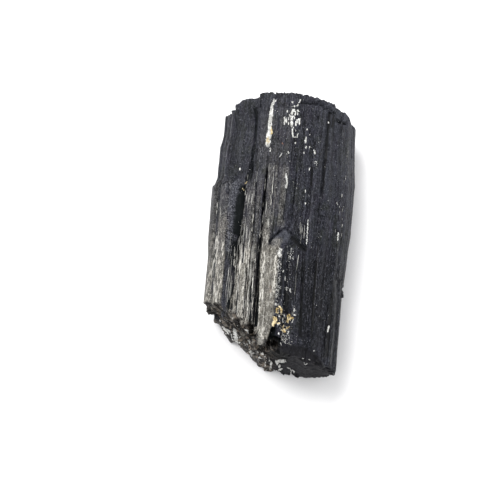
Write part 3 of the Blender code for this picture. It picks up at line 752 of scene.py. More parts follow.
def deepen_gaps(place, outward, distance, broken):
    """Makes the open gaps deeper, and says where they are."""
    east, north = [place[:, axis].reshape(distance.shape) for axis in (0, 1)]
    gap = smooth_step(0.35, 1.3, closed_over(distance, 30) - distance)
    gap *= smooth_step(0.5, 0.2, broken.reshape(distance.shape))
    gap *= zone_share(north, -38.0, 20.0, 1.5) * smooth_step(2.5, 1.0, east)
    place -= outward * (0.9 * gap).reshape(-1)[:, None]
    return gap.reshape(-1)


def lower_dome(place):
    """Rounds the lower end off below its line of pixels, and says where that is."""
    pixels = to_pixels(place)
    dome = smooth_step(-1.5, 2.5, pixels[:, 1] - np.interp(pixels[:, 0], *zip(*DOME_EDGE)))
    dome *= smooth_step(262, 272, pixels[:, 0]) * smooth_step(6, 12, place[:, 2])
    depth = np.clip(-37.0 - place[:, 1], 0, 9) / 9
    place[:, 2] -= DOME_DROP * dome * depth * smooth_step(8, 20, place[:, 2])
    return dome


def striated_relief(place, arc, total, west, even):
    """Striations, and the fine unevenness of the prism faces."""
    along = place[:, 1]
    flat = np.stack([arc, along, 0 * along], 1)
    wander = 0.07 * soft_noise(flat, (11, 45, 1), 3) + 0.012 * soft_noise(flat, (2, 14, 1), 4)
    run = np.clip(arc + wander, 0, total)
    relief = np.zeros(len(place))
    for seed, *striation in STRIATIONS:
        relief += Strips(seed, total, *striation).relief(run, along)
    relief *= 0.42 + 0.45 * west - 0.22 * relief_zone("recess", place)
    relief *= 1 - 0.55 * even
    for strength, size, seed in (
        (0.02, (2.4, 16.0, 2.4), 31),
        (0.045 - 0.030 * west, (1.0, 1.9, 1.0), 35),
        (0.26 * relief_zone("lumpy", place), (2.2, 3.6, 2.2), 37),
        (0.055 * relief_zone("grainy", place), (0.9, 1.5, 0.9), 39),
    ):
        relief += strength * rough_noise(place, size, seed)
    return relief


def worn_depth(place, west, crest):
    """Chips along the crests, and scattered pits."""
    chips = np.clip(rough_noise(place, (1.2, 2.0, 1.2), 41) - 0.28, 0, None)
    chips = chips * smooth_step(0.02, 0.45, crest)
    pits = np.clip(rough_noise(place, (0.9, 1.7, 0.9), 51, 2) - 0.74, 0, None)
    return (0.8 - 0.45 * west) * chips + 1.0 * pits


def fracture(place, broken):
    """Tiles of the broken faces, and how strongly they stand out."""
    mask = broken > 0.02
    tiles = np.zeros(len(place))
    picked = place[mask]
    tiles[mask] = (
        0.75 * broken_tiles(picked, 2.2, 61)
        + 0.45 * broken_tiles(picked, (0.9, 1.1, 0.9), 71)
        + 0.16 * soft_noise(picked, 0.45, 81)
    )
    east, along = place[:, 0], place[:, 1]
    calm = smooth_step(2.0, 8.0, east) * smooth_step(-30, -36, along)
    calm = np.maximum(calm, smooth_step(30, 36, along) * 0.9)
    calm = np.maximum(calm, zone_share(along, -10.0, 26.0, 3.0) * 1.4)
    calm = np.maximum(calm, smooth_step(8.0, 12.0, east) * smooth_step(-32, -28, along) * 1.6)
    return tiles, 0.85 - 0.5 * calm


def add_rubble(relief, place, mask, tile, tile_size, grit, grit_size, seed, sink):
    """Crumbly tiles and grit where the mask is above 0."""
    near = mask > 0.01
    picked = place[near]
    rubble = tile * broken_tiles(picked, tile_size, seed)
    rubble = rubble + grit * soft_noise(picked, grit_size, seed + 2)
    relief[near] += (rubble - sink) * mask[near]


def carved_depth(points, facing):
    """Depth of the fine grooves and ridges at each point of the side the camera sees."""
    pixels = to_pixels(points)
    wobble = 0.30 * soft_noise(points, (0.8, 3.2, 0.8), 131)
    total = np.zeros(len(points))
    for half_width, depth, *line in CARVINGS.values():
        low = np.min(line, 0) - 3 * half_width - 1
        high = np.max(line, 0) + 3 * half_width + 1
        near = ((pixels > low) & (pixels < high)).all(1) & (facing > 0)
        reach = line_distance(pixels[near], line) / half_width + wobble[near]
        share = np.clip(1.25 - reach, 0, 1)
        share = share * (2 - share)
        total[near] = np.where(
            np.abs(depth * share) > np.abs(total[near]), depth * share, total[near]
        )
    return total * facing


def add_colour_fields(fields, place, along, facets, dome):
    """Where the break gets painted glints, where the film and its painted sheen lie in dashes, and
    which faces are dull.
    """
    east = place[:, 0]
    broken = fields["broken"]
    fields["glint"] = broken * smooth_step(5, 1, east) * smooth_step(-24, -28, along)
    fields["dust_and_shade"] = fields["dust_and_shade"] + 0.75 * facets + 0.30 * fields["wall"]
    # Painted light: the facet that faces the light gets film colour.
    lit = line_distance(to_pixels(place), LIT_FACET_LINE) / LIT_FACET_REACH
    lit = np.clip(1.6 - 1.2 * lit, 0, 1) * facets
    film_and_sheen = fields["film_and_sheen"] * (1 - broken) * (1 - 0.85 * facets)
    fields["film_and_sheen"] = np.maximum(film_and_sheen, 0.62 * lit)
    lined = smooth_step(-2.0, -9.0, along) * smooth_step(3.0, 0.0, east)
    lined *= 1 - 0.85 * fields["even"]
    fields["lined"] = np.maximum(lined, 0.35 * smooth_step(2.0, 5.0, east))
    dull = broken * smooth_step(1, 5, east) * smooth_step(-28, -33, along)
    fields["dull"] = np.maximum(dull, dome)


def surface_net(tree):
    """The crystal's surface as rows and columns of points, with its relief and fields."""
    angle, arc, radius, total = column_angles(tree)
    lean, origin, reach, inland = net_layout(radius)
    shape = lean.shape
    shift = ragged_shift(arc, np.cos(angle) * radius, reach, inland)
    start, outward, place, normal = cast_net(tree, angle, lean, origin + shift)
    place[:, 1] -= shift.reshape(-1)
    seen = seen_share(normal)

    # Where the surface is broken across the fibres.
    broken = blurred(smooth_step(0.35, 0.7, np.abs(normal[:, 1])).reshape(shape), 1, 2).reshape(-1)
    under = smooth_step(5.0, 1.0, place[:, 2])
    facets = line_distance(to_pixels(place), CHEVRON_LINE) / CHEVRON_REACH
    facets = np.clip(2 - 2 * facets, 0, 1) * smooth_step(20.0, 24.0, place[:, 2])
    tip = np.clip(2 - 2 * line_distance(to_pixels(place), RIB_TIP_LINE) / RIB_TIP_REACH, 0, 1)
    broken = broken * (1 - facets) * (1 - tip * smooth_step(14.0, 18.0, place[:, 2]))

    distance = np.linalg.norm(place - start, axis=1).reshape(shape)
    fill_gaps(place, outward, distance, broken)
    open_gap = deepen_gaps(place, outward, distance, broken)
    place = outline_moved(place)
    dome = lower_dome(place)
    # Crests stand out from the surface round them and are worn first.
    crest = np.clip(distance - blurred(distance, 3, 12), -1.0, 1.0).reshape(-1)

    east, along = place[:, 0], place[:, 1]
    arc = (np.ones((shape[0], 1)) * arc).reshape(-1)
    west = smooth_step(1, -4, east) * smooth_step(8, -4, along)
    even = relief_zone("even", place)
    relief = striated_relief(place, arc, total, west, even)
    relief -= worn_depth(place, west, crest)
    tiles, strength = fracture(place, broken)
    relief = relief * (1 - 0.8 * broken) + tiles * strength * broken

    # The foot of the short crystal's ridge is crumbly, and so are the wall beside the open
    # gap and the speckled ridge.
    foot = smooth_step(-2.5, -0.5, east) * smooth_step(8.5, 6.5, east)
    foot *= smooth_step(-29, -34, along) * smooth_step(20, 26, place[:, 2]) * (1 - broken)
    wall = near_line(place, WALL_LINE, WALL_REACH, 1.4) * seen
    ridge = near_line(place, RIDGE_LINE, RIDGE_REACH, 1.4) * seen
    for rubble in (
        (foot, 0.8, (1.2, 1.6, 1.2), 0.3, 0.5, 91, 0.15),
        (wall, 0.50, (0.9, 0.8, 0.9), 0.18, 0.45, 95, 0.0),
        (ridge, 0.45, (0.7, 1.0, 0.7), 0.2, 0.5, 99, 0.1),
    ):
        add_rubble(relief, place, *rubble)
    relief *= (1 - 0.75 * under) * (1 - 0.60 * dome)
    relief += 0.16 * dome * rough_noise(place, (1.7, 1.7, 1.7), 103)
    carved = carved_depth(place, smooth_step(6.0, 10.0, place[:, 2]) * seen)
    relief -= carved
    relief = np.where(place[:, 2] < 0.05, np.minimum(relief, 0), relief)
    place = place + outward * relief[:, None]
    place[:, 2] = np.maximum(place[:, 2], 0.0)

    fields = {
        "broken": broken,
        "crest": np.clip(0.5 + 0.6 * crest + 1.3 * relief * (1 - broken), 0, 1),
        # The open gaps and the carved grooves, where the material paints shade.
        "gap": np.clip(np.maximum(open_gap, smooth_step(0.25, 1.1, carved)), 0, 1),
        "level": np.clip(0.5 + 0.8 * tiles, 0, 1),
        "wall": wall,
        "even": even,
        **patch_masks(place, seen),
    }
    add_colour_fields(fields, place, along, facets, dome)
    return place.reshape(*shape, 3), fields


def net_triangles(rows, columns):
    """Two triangles for every cell of the net, and a fan at each end."""
    first = np.arange(rows - 1)[:, None] * columns + np.arange(columns)[None, :]
    right = np.arange(rows - 1)[:, None] * columns + (np.arange(columns)[None, :] + 1) % columns
    corners = [first, right, right + columns, first + columns]
    a, b, c, d = [item.reshape(-1) for item in corners]
    ring = np.arange(columns)
    following = (ring + 1) % columns
    low_pole = rows * columns
    high_pole = low_pole + 1
    last = (rows - 1) * columns
    return np.concatenate([
        np.stack([a, c, b], 1),
        np.stack([a, d, c], 1),
        np.stack([ring, following, np.full(columns, low_pole)], 1),
        np.stack([last + following, last + ring, np.full(columns, high_pole)], 1),
    ])


def mesh_from(name, points, triangles):
    mesh = bpy.data.meshes.new(name)
    mesh.vertices.add(len(points))
    mesh.vertices.foreach_set("co", np.ascontiguousarray(points, np.float32).reshape(-1))
    mesh.loops.add(triangles.size)
    mesh.loops.foreach_set("vertex_index", triangles.astype(np.int32).reshape(-1))
    mesh.polygons.add(len(triangles))
    mesh.polygons.foreach_set("loop_start", np.arange(len(triangles), dtype=np.int32) * 3)
    mesh.update(calc_edges=True)
    mesh.validate()
    return mesh


def add_object(name, mesh):
    item = bpy.data.objects.new(name, mesh)
    bpy.context.scene.collection.objects.link(item)
    return item


def crystal_surface():
    """The net as one mesh, thinned to the budget of faces."""
    net, fields = surface_net(mesh_tree(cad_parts[NODE].data))
    rows, columns, _ = net.shape
    poles = np.stack([net[0].mean(0), net[-1].mean(0)])
    points = np.concatenate([net.reshape(-1, 3), poles]) * MM
    dense = mesh_from("dense", points, net_triangles(rows, columns))
    for name, field in fields.items():
        layer = dense.attributes.new(name, "FLOAT", "POINT")
        layer.data.foreach_set("value", np.append(field, [0.0, 0.0]).astype(np.float32))
    item = add_object("dense", dense)
    thin = item.modifiers.new("thin", "DECIMATE")
    thin.ratio = min(1.0, FACE_BUDGET / len(dense.polygons))
    evaluated = item.evaluated_get(bpy.context.evaluated_depsgraph_get())
    mesh = bpy.data.meshes.new_from_object(evaluated)
    mesh.name = "crystal_surface"
    for vertex in mesh.vertices:
        vertex.co.z = max(vertex.co.z, 0.0)
    bpy.data.objects.remove(item, do_unlink=True)
    surface = add_object("crystal_surface", mesh)
    mesh.shade_smooth()
    mesh.set_sharp_from_angle(angle=SHARP_ANGLE)
    return surface


def plain_material(name, colour, roughness):
    material = bpy.data.materials.new(name)
    material.use_nodes = True
    shader = material.node_tree.nodes["Principled BSDF"]
    shader.inputs["Base Color"].default_value = (*colour, 1)
    shader.inputs["Roughness"].default_value = roughness
    return material


class Nodes:
    """Short names for the few shader nodes the materials are made of."""

    def __init__(self, name):
        self.material = bpy.data.materials.new(name)
        self.material.use_nodes = True
        self.tree = self.material.node_tree
        self.shader = self.tree.nodes["Principled BSDF"]
        self.place = self.tree.nodes.new("ShaderNodeTexCoord").outputs["Object"]

    def link(self, source, target):
        self.tree.links.new(source, target)

    def attribute(self, name):
        node = self.tree.nodes.new("ShaderNodeAttribute")
        node.attribute_name = name
        return node.outputs["Fac"]

    def noise(self, scale, detail=3.0, rough=0.55):
        """Noise in the crystal's own space; scale is repeats a metre along X, Y and Z."""
        mapping = self.tree.nodes.new("ShaderNodeMapping")
        mapping.inputs["Scale"].default_value = scale
        self.link(self.place, mapping.inputs["Vector"])
        node = self.tree.nodes.new("ShaderNodeTexNoise")
        node.inputs["Scale"].default_value = 1.0
        node.inputs["Detail"].default_value = detail
        node.inputs["Roughness"].default_value = rough
        self.link(mapping.outputs["Vector"], node.inputs["Vector"])
        return node.outputs["Fac"]

    def math(self, operation, *values):
        node = self.tree.nodes.new("ShaderNodeMath")
        node.operation = operation
        for index, value in enumerate(values):
            if isinstance(value, (int, float)):
                node.inputs[index].default_value = value
            else:
                self.link(value, node.inputs[index])
        return node.outputs[0]

    def times(self, *values):
        return self.math("MULTIPLY", *values)

    def plus(self, *values):
        return self.math("ADD", *values)

    def larger(self, *values):
        return self.math("MAXIMUM", *values)

    def ramp(self, value, low, high, out_low=0.0, out_high=1.0):
        node = self.tree.nodes.new("ShaderNodeMapRange")
        node.interpolation_type = "SMOOTHSTEP"
        for index, number in enumerate((low, high, out_low, out_high), 1):
            node.inputs[index].default_value = number
        self.link(value, node.inputs[0])
        return node.outputs[0]

    def mix(self, factor, first, second):
        node = self.tree.nodes.new("ShaderNodeMix")
        node.data_type = "RGBA"
        self.link(factor, node.inputs["Factor"])
        for socket, value in ((node.inputs[6], first), (node.inputs[7], second)):
            if isinstance(value, tuple):
                socket.default_value = (*value, 1.0)
            else:
                self.link(value, socket)
        return node.outputs[2]

    def layers(self, colour, *coats):
        """The colour under one coat after another; each coat is its share and its colour."""
        for share, coat in coats:
            colour = self.mix(share, colour, coat)
        return colour

    def bump(self, height, distance, strength, under=None):
        node = self.tree.nodes.new("ShaderNodeBump")
        node.inputs["Strength"].default_value = strength
        node.inputs["Distance"].default_value = distance
        self.link(height, node.inputs["Height"])
        if under is not None:
            self.link(under, node.inputs["Normal"])
        return node.outputs["Normal"]


# Black tourmaline's shine, which stays the same all over.
SCHORL_SPECULAR = 0.36
SCHORL_IOR = 1.25
# Patches of colour: field, and the dull and the bright side of their grain.
PATCH_COLOURS = (
    ("rust", (0.12, 0.055, 0.03), (0.20, 0.09, 0.05)),
    ("ochre", (0.13, 0.095, 0.045), (0.30, 0.24, 0.12)),
    ("white", (0.24, 0.24, 0.225), (0.52, 0.52, 0.50)),
)
# The bumps from the broadest of them up: noise, height in metres, strength.
SCHORL_BUMPS = (
    ("streaks", 0.00010, 0.25), ("fine", 0.00005, 0.35),
    ("mottle", 0.00032, 0.60), ("grain", 0.00016, 0.80),
)


class Schorl(Nodes):
    """Nodes with the noises and the fields that the crystal's layers of colour share."""

    def __init__(self):
        super().__init__("schorl")
        self.across = self.noise((620, 70, 620), 3.0)
        self.streaks = self.noise((1900, 130, 1900), 4.0, 0.6)
        self.fine = self.noise((4800, 420, 4800), 3.0, 0.6)
        self.dashes = self.noise((3400, 560, 3400), 3.0, 0.6)
        self.grain = self.noise((2600, 1900, 2600), 4.0, 0.65)
        self.mottle = self.noise((780, 430, 780), 4.0, 0.62)
        self.cloud = self.noise((130, 70, 130), 3.0)
        self.tint = self.noise((240, 150, 240), 2.0)
        self.bright = self.plus(self.times(self.fine, 0.5), self.times(self.dashes, 0.5))
        self.specks = self.plus(self.times(self.grain, 0.5), self.times(self.mottle, 0.5))
        self.gap = self.attribute("gap")
        self.even = self.attribute("even")
        self.lined = self.attribute("lined")
        self.dull = self.attribute("dull")
        # The dark patches, painted shade, broken up by the mottle.
        self.dark = self.plus(
            self.attribute("dark"), self.math("MULTIPLY_ADD", self.mottle, 2.0, -1.0)
        )
        # Painted shade: the film and its sheen are taken out of the gaps and fade to a tenth in the
        # hollows away from the crests.
        hollow_shading = self.ramp(self.attribute("crest"), 0.15, 0.45, 0.10, 1.0)
        film_and_sheen = self.times(self.attribute("film_and_sheen"), self.math("SUBTRACT", 1.0, self.gap))
        self.film_and_sheen = self.times(film_and_sheen, self.larger(hollow_shading, self.times(self.even, 0.85)))


def black_colour(n):
    """Blue-black with violet and greenish clouds, mottled and grainy, with pale dust, painted shade and
    light lines painted as highlights along the striations.
    """
    dust_and_shade = n.attribute("dust_and_shade")
    dusty = n.times(n.ramp(dust_and_shade, 0.0, 1.0), n.ramp(n.mottle, 0.34, 0.60, 0.30, 1.0))
    wall = n.times(n.attribute("wall"), n.ramp(n.grain, 0.49, 0.58, 0.0, 0.9))
    return n.layers(
        (0.0022, 0.0027, 0.0052),
        (n.ramp(n.mottle, 0.39, 0.60), (0.0230, 0.0242, 0.0340)),
        (n.ramp(n.tint, 0.50, 0.64, 0.0, 0.75), (0.0115, 0.0140, 0.0100)),
        (n.ramp(n.tint, 0.48, 0.36, 0.0, 0.65), (0.0190, 0.0162, 0.0270)),
        (n.ramp(n.cloud, 0.42, 0.62, 0.0, 0.35), (0.0105, 0.0113, 0.0130)),
        (n.ramp(n.across, 0.51, 0.62, 0.0, 0.55), (0.0270, 0.0290, 0.0385)),
        (n.ramp(n.across, 0.47, 0.38, 0.0, 0.75), (0.0030, 0.0035, 0.0055)),
        (n.ramp(n.streaks, 0.46, 0.38, 0.0, 0.6), (0.0028, 0.0032, 0.0050)),
        (dusty, (0.052, 0.055, 0.068)),
        # Painted shade where the dust and shade zones are below 0.
        (n.ramp(dust_and_shade, 0.0, -1.0), (0.0020, 0.0024, 0.0040)),
        (n.ramp(n.grain, 0.47, 0.37, 0.0, 0.7), (0.0018, 0.0021, 0.0032)),
        # Painted highlights: light lines along the striations.
        (n.ramp(n.fine, 0.56, 0.68, 0.0, 0.8), (0.074, 0.078, 0.096)),
        (n.ramp(n.grain, 0.54, 0.66, 0.0, 0.85), (0.082, 0.085, 0.102)),
        (wall, (0.135, 0.139, 0.158)),
        # Painted shade in the cavities and grooves of the dark patches.
        (n.ramp(n.dark, 0.15, 0.95, 0.0, 0.9), (0.0014, 0.0017, 0.0021)),
    )


def with_film_and_sheen(n, black):
    """The film with its painted sheen: speckled where it is thin, drawn out in fine bright dashes of
    painted sheen where thick.
    """
    lines = n.plus(n.times(n.streaks, 0.55), n.times(n.fine, 0.45))
    share = n.math("MULTIPLY_ADD", n.lined, 0.65, 0.10)
    speckled = n.math("SUBTRACT", 1.0, share)
    pattern = n.math("MULTIPLY_ADD", n.specks, speckled, n.times(lines, share))
    patchy = n.larger(n.ramp(pattern, 0.42, 0.55, 0.35, 1.0), n.times(n.even, 0.75))
    film_and_sheen_colour = n.layers(
        (0.092, 0.086, 0.074),
        (n.ramp(n.specks, 0.42, 0.60), (0.270, 0.257, 0.225)),
        (n.times(n.even, 0.50), (0.106, 0.099, 0.085)),
        (n.ramp(n.grain, 0.57, 0.66), (0.48, 0.47, 0.43)),
    )
    thick = n.times(n.ramp(n.film_and_sheen, 0.35, 0.95), n.lined)
    dark_dashes = n.times(n.times(thick, n.ramp(n.bright, 0.46, 0.40)), 0.85)
    pitted = n.times(n.ramp(n.film_and_sheen, 0.1, 0.4), n.ramp(n.grain, 0.42, 0.36))
    return n.layers(
        black,
        # The film's light grey is partly its own colour and partly painted sheen; the bright dashes are
        # painted sheen.
        (n.times(n.film_and_sheen, patchy), film_and_sheen_colour),
        (n.times(thick, n.ramp(n.bright, 0.53, 0.59)), (0.47, 0.45, 0.41)),
        (dark_dashes, (0.016, 0.016, 0.016)),
        (n.times(pitted, n.math("MULTIPLY_ADD", n.even, -0.5, 0.7)), (0.016, 0.015, 0.014)),
    )


def with_patches(n, colour):
    """The gaps and grooves in painted shade, the silvery lines with painted sheen, the break with
    painted glints, the mineral patches, the dull faces.
    """
    # Silver lines: partly a mica coating, partly painted sheen.
    silver = n.plus(n.attribute("silver"), n.math("MULTIPLY_ADD", n.bright, 5.0, -3.0))
    glint = n.attribute("glint")
    # Painted light and shade on the break: tiles that stand up are painted lighter with painted glints,
    # and the low ones stay dark.
    raised = n.times(glint, n.ramp(n.attribute("level"), 0.50, 0.82))
    colour = n.layers(
        colour,
        # Painted shade in the gaps and grooves.
        (n.gap, (0.0034, 0.0048, 0.0055)),
        (n.ramp(silver, 0.35, 0.75), (0.56, 0.545, 0.50)),
        (n.times(glint, 0.9), (0.014, 0.012, 0.010)),
        (n.times(raised, n.ramp(n.mottle, 0.44, 0.60, 0.1, 0.9)), (0.205, 0.170, 0.135)),
        (n.times(raised, n.ramp(n.grain, 0.58, 0.66)), (0.50, 0.48, 0.44)),
    )
    for kind, dull_side, bright_side in PATCH_COLOURS:
        edge = n.plus(n.attribute(kind), n.math("MULTIPLY_ADD", n.grain, 3.0, -1.5))
        patch = n.mix(n.ramp(n.grain, 0.42, 0.62), dull_side, bright_side)
        colour = n.mix(n.ramp(edge, 0.98, 1.18), colour, patch)
    # On the dull faces the dark patches are painted shade too.
    matt = n.mix(n.ramp(n.dark, 0.15, 0.95), (0.0125, 0.0122, 0.0138), (0.0014, 0.0016, 0.0016))
    return n.mix(n.times(n.dull, 0.8), colour, matt)


def schorl_material():
    """Black tourmaline: satin and finely striated, with a film and painted sheen, painted shade,
    painted highlights and glints, and mineral patches.
    """
    n = Schorl()
    n.link(with_patches(n, with_film_and_sheen(n, black_colour(n))), n.shader.inputs["Base Color"])
    rough = n.plus(n.ramp(n.cloud, 0.3, 0.7, 0.32, 0.46), n.ramp(n.mottle, 0.3, 0.7, -0.06, 0.10))
    for field, share in ((n.film_and_sheen, 0.08), (n.dull, 0.30), (n.gap, 0.30)):
        rough = n.plus(rough, n.times(field, share))
    n.link(rough, n.shader.inputs["Roughness"])
    n.shader.inputs["Specular IOR Level"].default_value = SCHORL_SPECULAR
    n.shader.inputs["IOR"].default_value = SCHORL_IOR
    normal = None
    for noise, height, strength in SCHORL_BUMPS:
        normal = n.bump(getattr(n, noise), height, strength, normal)
    n.link(normal, n.shader.inputs["Normal"])
    return n.material


# Grains of each mineral: slot, range of lengths in mm, thickness as a share of the length,
# how deep a grain is sunk as a share of its thickness.
GRAINS = {
    "white": ("pale_mica", (0.18, 0.50), 0.30, 0.25),
    "ochre": ("iron_ochre", (0.20, 0.48), 0.60, 0.30),
}
GLITTER_LINE = ((216.0, 322.0), (228.0, 334.0), (240.0, 346.0), (254.0, 356.0), (266.0, 360.0))
GLITTER_REACH = 7.0
GLITTER_COUNT = 55
DUST_BOX = ((222.0, 96.0), (344.0, 345.0))
DUST_COUNT = 300
HIDDEN_DUST_COUNT = 420
GRAIN_SEED = 23
SLIVER_SEED = 29
STAIN_RISE = 0.16
SPARSE_SIZE = 0.62
GRAINS_ONLY_SIZE = 0.85
# Colours and roughness of a grain's mineral: dark and light side, flecks with the start of
# their share, and the range of roughness.
GRAIN_LOOKS = {
    "pale_mica": ((0.50, 0.50, 0.475), (0.80, 0.80, 0.78), (0.26, 0.26, 0.245), (0.60, 0.74),
                  (0.34, 0.60)),
    "iron_ochre": ((0.44, 0.32, 0.13), (0.80, 0.69, 0.45), (0.16, 0.12, 0.06), (0.56, 0.72),
                   (0.70, 0.92)),
}

# Thin bright slivers and needles: a line of pixels and the half width of the band round it,
# how many, their lengths in pixels, and how far they turn from the striations, in radians.
SLIVERS = {
    "slab": (((217.5, 232.0), (214.0, 306.0)), 5.5, 34, (4, 15), 0.02),
    "slab_upper": (((220.0, 192.0), (218.5, 230.0)), 5.0, 8, (3, 7), 0.02),
    "bank": (((244.0, 232.0), (240.5, 312.0)), 7.5, 62, (5, 24), 0.015),
    "thin_ribs": (((252.6, 250.0), (249.0, 318.0)), 2.6, 22, (9, 34), 0.01),
    "bank_top": (((252.0, 172.0), (248.0, 232.0)), 6.0, 16, (4, 14), 0.015),
    "gap_wall_low": (((233.0, 234.0), (228.6, 300.0)), 3.6, 18, (8, 30), 0.01),
    "olive": (((268.0, 166.0), (264.5, 228.0)), 5.5, 12, (4, 14), 0.015),
    "rib_above": (((266.0, 205.0), (263.0, 250.0)), 5.0, 16, (3, 12), 0.02),
    "rib": (((267.0, 256.0), (264.0, 318.0)), 7.0, 38, (3, 11), 0.03),
    "rib_tip": (((262.0, 322.0), (259.5, 343.0)), 4.5, 22, (4, 13), 0.03),
    "ridge": (((278.8, 252.0), (277.0, 300.0)), 3.2, 60, (1.2, 3.5), 0.7),
    "right_edge": (((344.0, 134.0), (338.0, 246.0)), 6.0, 16, (2, 7), 0.02),
    "feather": (((301.4, 222.0), (302.6, 243.0)), 2.4, 8, (4, 11), 0.03),
    "clump_needles": (((280.5, 322.0), (287.0, 342.0)), 5.5, 20, (2.0, 6.5), 1.6),
    "clump_needles_top": (((279.0, 304.0), (282.0, 318.0)), 3.5, 12, (1.5, 4.0), 1.6),
    "clump_spray": (((294.6, 307.5), (293.8, 316.0)), 2.2, 12, (1.8, 5.0), 0.6),
}
LONG_SLIVERS = {
    "gap_edge": ((245.6, 190.0), (244.2, 206.0), (243.0, 224.0), (241.0, 246.0)),
    "gap_edge_low": ((238.6, 238.0), (236.2, 262.0), (234.4, 284.0)),
    "flank": ((298.6, 255.0), (296.4, 270.5)),
    "flank_low": ((296.2, 273.0), (295.4, 286.0), (294.5, 296.0)),
    "line_beside": ((304.6, 225.0), (303.9, 239.0)),
    "olive_edge": ((274.4, 162.0), (272.4, 190.0), (270.8, 206.0)),
    "groove_left": ((253.4, 262.0), (251.6, 292.0), (250.4, 322.0)),
}
SLIVER_WIDTHS = (0.10, 0.24)
SLIVER_STEP = 1.7
SLIVER_BREAK = 0.9
SLIVER_SINK = 0.03


def grain_shape(rng, centre, normal, length, thick, along):
    """One broken grain: a block with uneven corners, flat on the surface."""
    spin = rng.normal(0, along)
    lengthways = Vector((math.sin(spin), math.cos(spin), 0))
    lengthways = (lengthways - normal * lengthways.dot(normal)).normalized()
    sideways = normal.cross(lengthways)
    wide = length * rng.uniform(0.40, 0.80)
    corners = []
    for corner in itertools.product((-1, 1), repeat=3):
        size = [0.5 * length, 0.5 * wide, 0.5 * thick]
        part = [side * half * rng.uniform(0.55, 1.15) for side, half in zip(corner, size)]
        corners.append(centre + lengthways * part[0] + sideways * part[1] + normal * part[2])
    return corners


GRAIN_FACES = np.array([
    (0, 1, 3), (0, 3, 2), (4, 6, 7), (4, 7, 5), (0, 4, 5), (0, 5, 1),
    (2, 3, 7), (2, 7, 6), (0, 2, 6), (0, 6, 4), (1, 5, 7), (1, 7, 3),
])


def line_spots(rng, line, half_width, count):
    """Pixels scattered over a line of the photograph."""
    places = [np.array(place, float) for place in line]
    runs = [np.linalg.norm(end - start) for start, end in zip(places[:-1], places[1:])]
    ends = np.cumsum([0.0] + runs)
    for _ in range(count):
        spot = rng.uniform(0, ends[-1])
        index = min(int(np.searchsorted(ends, spot, "right")) - 1, len(runs) - 1)
        share = (spot - ends[index]) / runs[index]
        centre = places[index] + share * (places[index + 1] - places[index])
        angle = rng.uniform(0, 2 * math.pi)
        yield centre + half_width * math.sqrt(rng.uniform(0, 1)) * np.array(
            (math.cos(angle), math.sin(angle))
        )


def add_piece(name, points, faces, slot, material):
    """A piece of scene mesh on the crystal, from points in millimetres."""
    points = np.array(points) * MM
    points[:, 2] = np.maximum(points[:, 2], 0.0)
    dress(add_object(name, mesh_from(name, points, np.array(faces))), slot, material)


def dress(piece, slot, material):
    piece.data.materials.append(material)
    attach(piece, "root")
    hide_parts(NODE)


def sliver_spine(tree, line):
    """Points and normals of the surface under a line of pixels, until it drops away."""
    spine = []
    for start, end in zip(line[:-1], line[1:]):
        start, end = np.array(start), np.array(end)
        steps = max(2, int(round(np.linalg.norm(end - start) / SLIVER_STEP)))
        for share in np.linspace(0, 1, steps + 1):
            place, normal = tree.ray_cast(*pixel_ray(start + share * (end - start)))[:2]
            if place is None:
                return spine
            if spine and (place - spine[-1][0]).length > SLIVER_BREAK:
                return spine
            if not spine or (place - spine[-1][0]).length > 0.05:
                spine.append((place, normal))
    return spine


def add_sliver(spine, width, points, faces):
    """A thin three-sided prism along the surface, narrow at its ends."""
    first = len(points)
    last = len(spine) - 1
    for index, (place, normal) in enumerate(spine):
        along = (spine[min(index + 1, last)][0] - spine[max(index - 1, 0)][0]).normalized()
        across = normal.cross(along).normalized()
        share = 0.35 + 0.65 * math.sin(math.pi * (index + 0.5) / (last + 1))
        side = across * (0.5 * width * share)
        low = place - normal * SLIVER_SINK
        points += [low - side, low + side, place + normal * (0.4 * width * share)]
    for index in range(last):
        a = first + 3 * index
        b = a + 3
        for i, j in ((0, 1), (1, 2), (2, 0)):
            faces += [(a + i, a + j, b + j), (a + i, b + j, b + i)]
    end = first + 3 * last
    faces += [(first, first + 2, first + 1), (end, end + 1, end + 2)]


def add_slivers(tree):
    """Bright slivers along the striations, and needles round the ochre."""
    rng = np.random.default_rng(SLIVER_SEED)
    lines = []
    for line, half_width, count, (short, long), turn in SLIVERS.values():
        for spot in line_spots(rng, line, half_width, count):
            length = math.exp(rng.uniform(math.log(short), math.log(long)))
            lean = ROLL + rng.normal(0, turn) if turn < 1 else rng.uniform(0, 2 * math.pi)
            run = np.array((-math.sin(lean), math.cos(lean))) * length
            lines.append((spot - run / 2, spot + run / 2))
    points, faces = [], []
    for line in [*lines, *LONG_SLIVERS.values()]:
        spine = sliver_spine(tree, line)
        if len(spine) > 2:
            add_sliver(spine, rng.uniform(*SLIVER_WIDTHS), points, faces)
    points = [tuple(place) for place in points]
    add_piece("pale_mica_slivers", points, faces, "pale_mica", sliver_material())


def sliver_material():
    n = Nodes("sliver")
    coarse = n.noise((1500, 90, 1500), 2.0)
    fine = n.noise((4200, 2600, 4200), 3.0, 0.6)
    colour = n.mix(n.ramp(coarse, 0.38, 0.62), (0.17, 0.17, 0.155), (0.66, 0.65, 0.61))
    colour = n.mix(n.ramp(fine, 0.60, 0.72), colour, (0.10, 0.10, 0.095))
    n.link(colour, n.shader.inputs["Base Color"])
    n.link(n.ramp(fine, 0.3, 0.7, 0.34, 0.60), n.shader.inputs["Roughness"])
    n.link(n.bump(fine, 0.00006, 0.5), n.shader.inputs["Normal"])
    return n.material


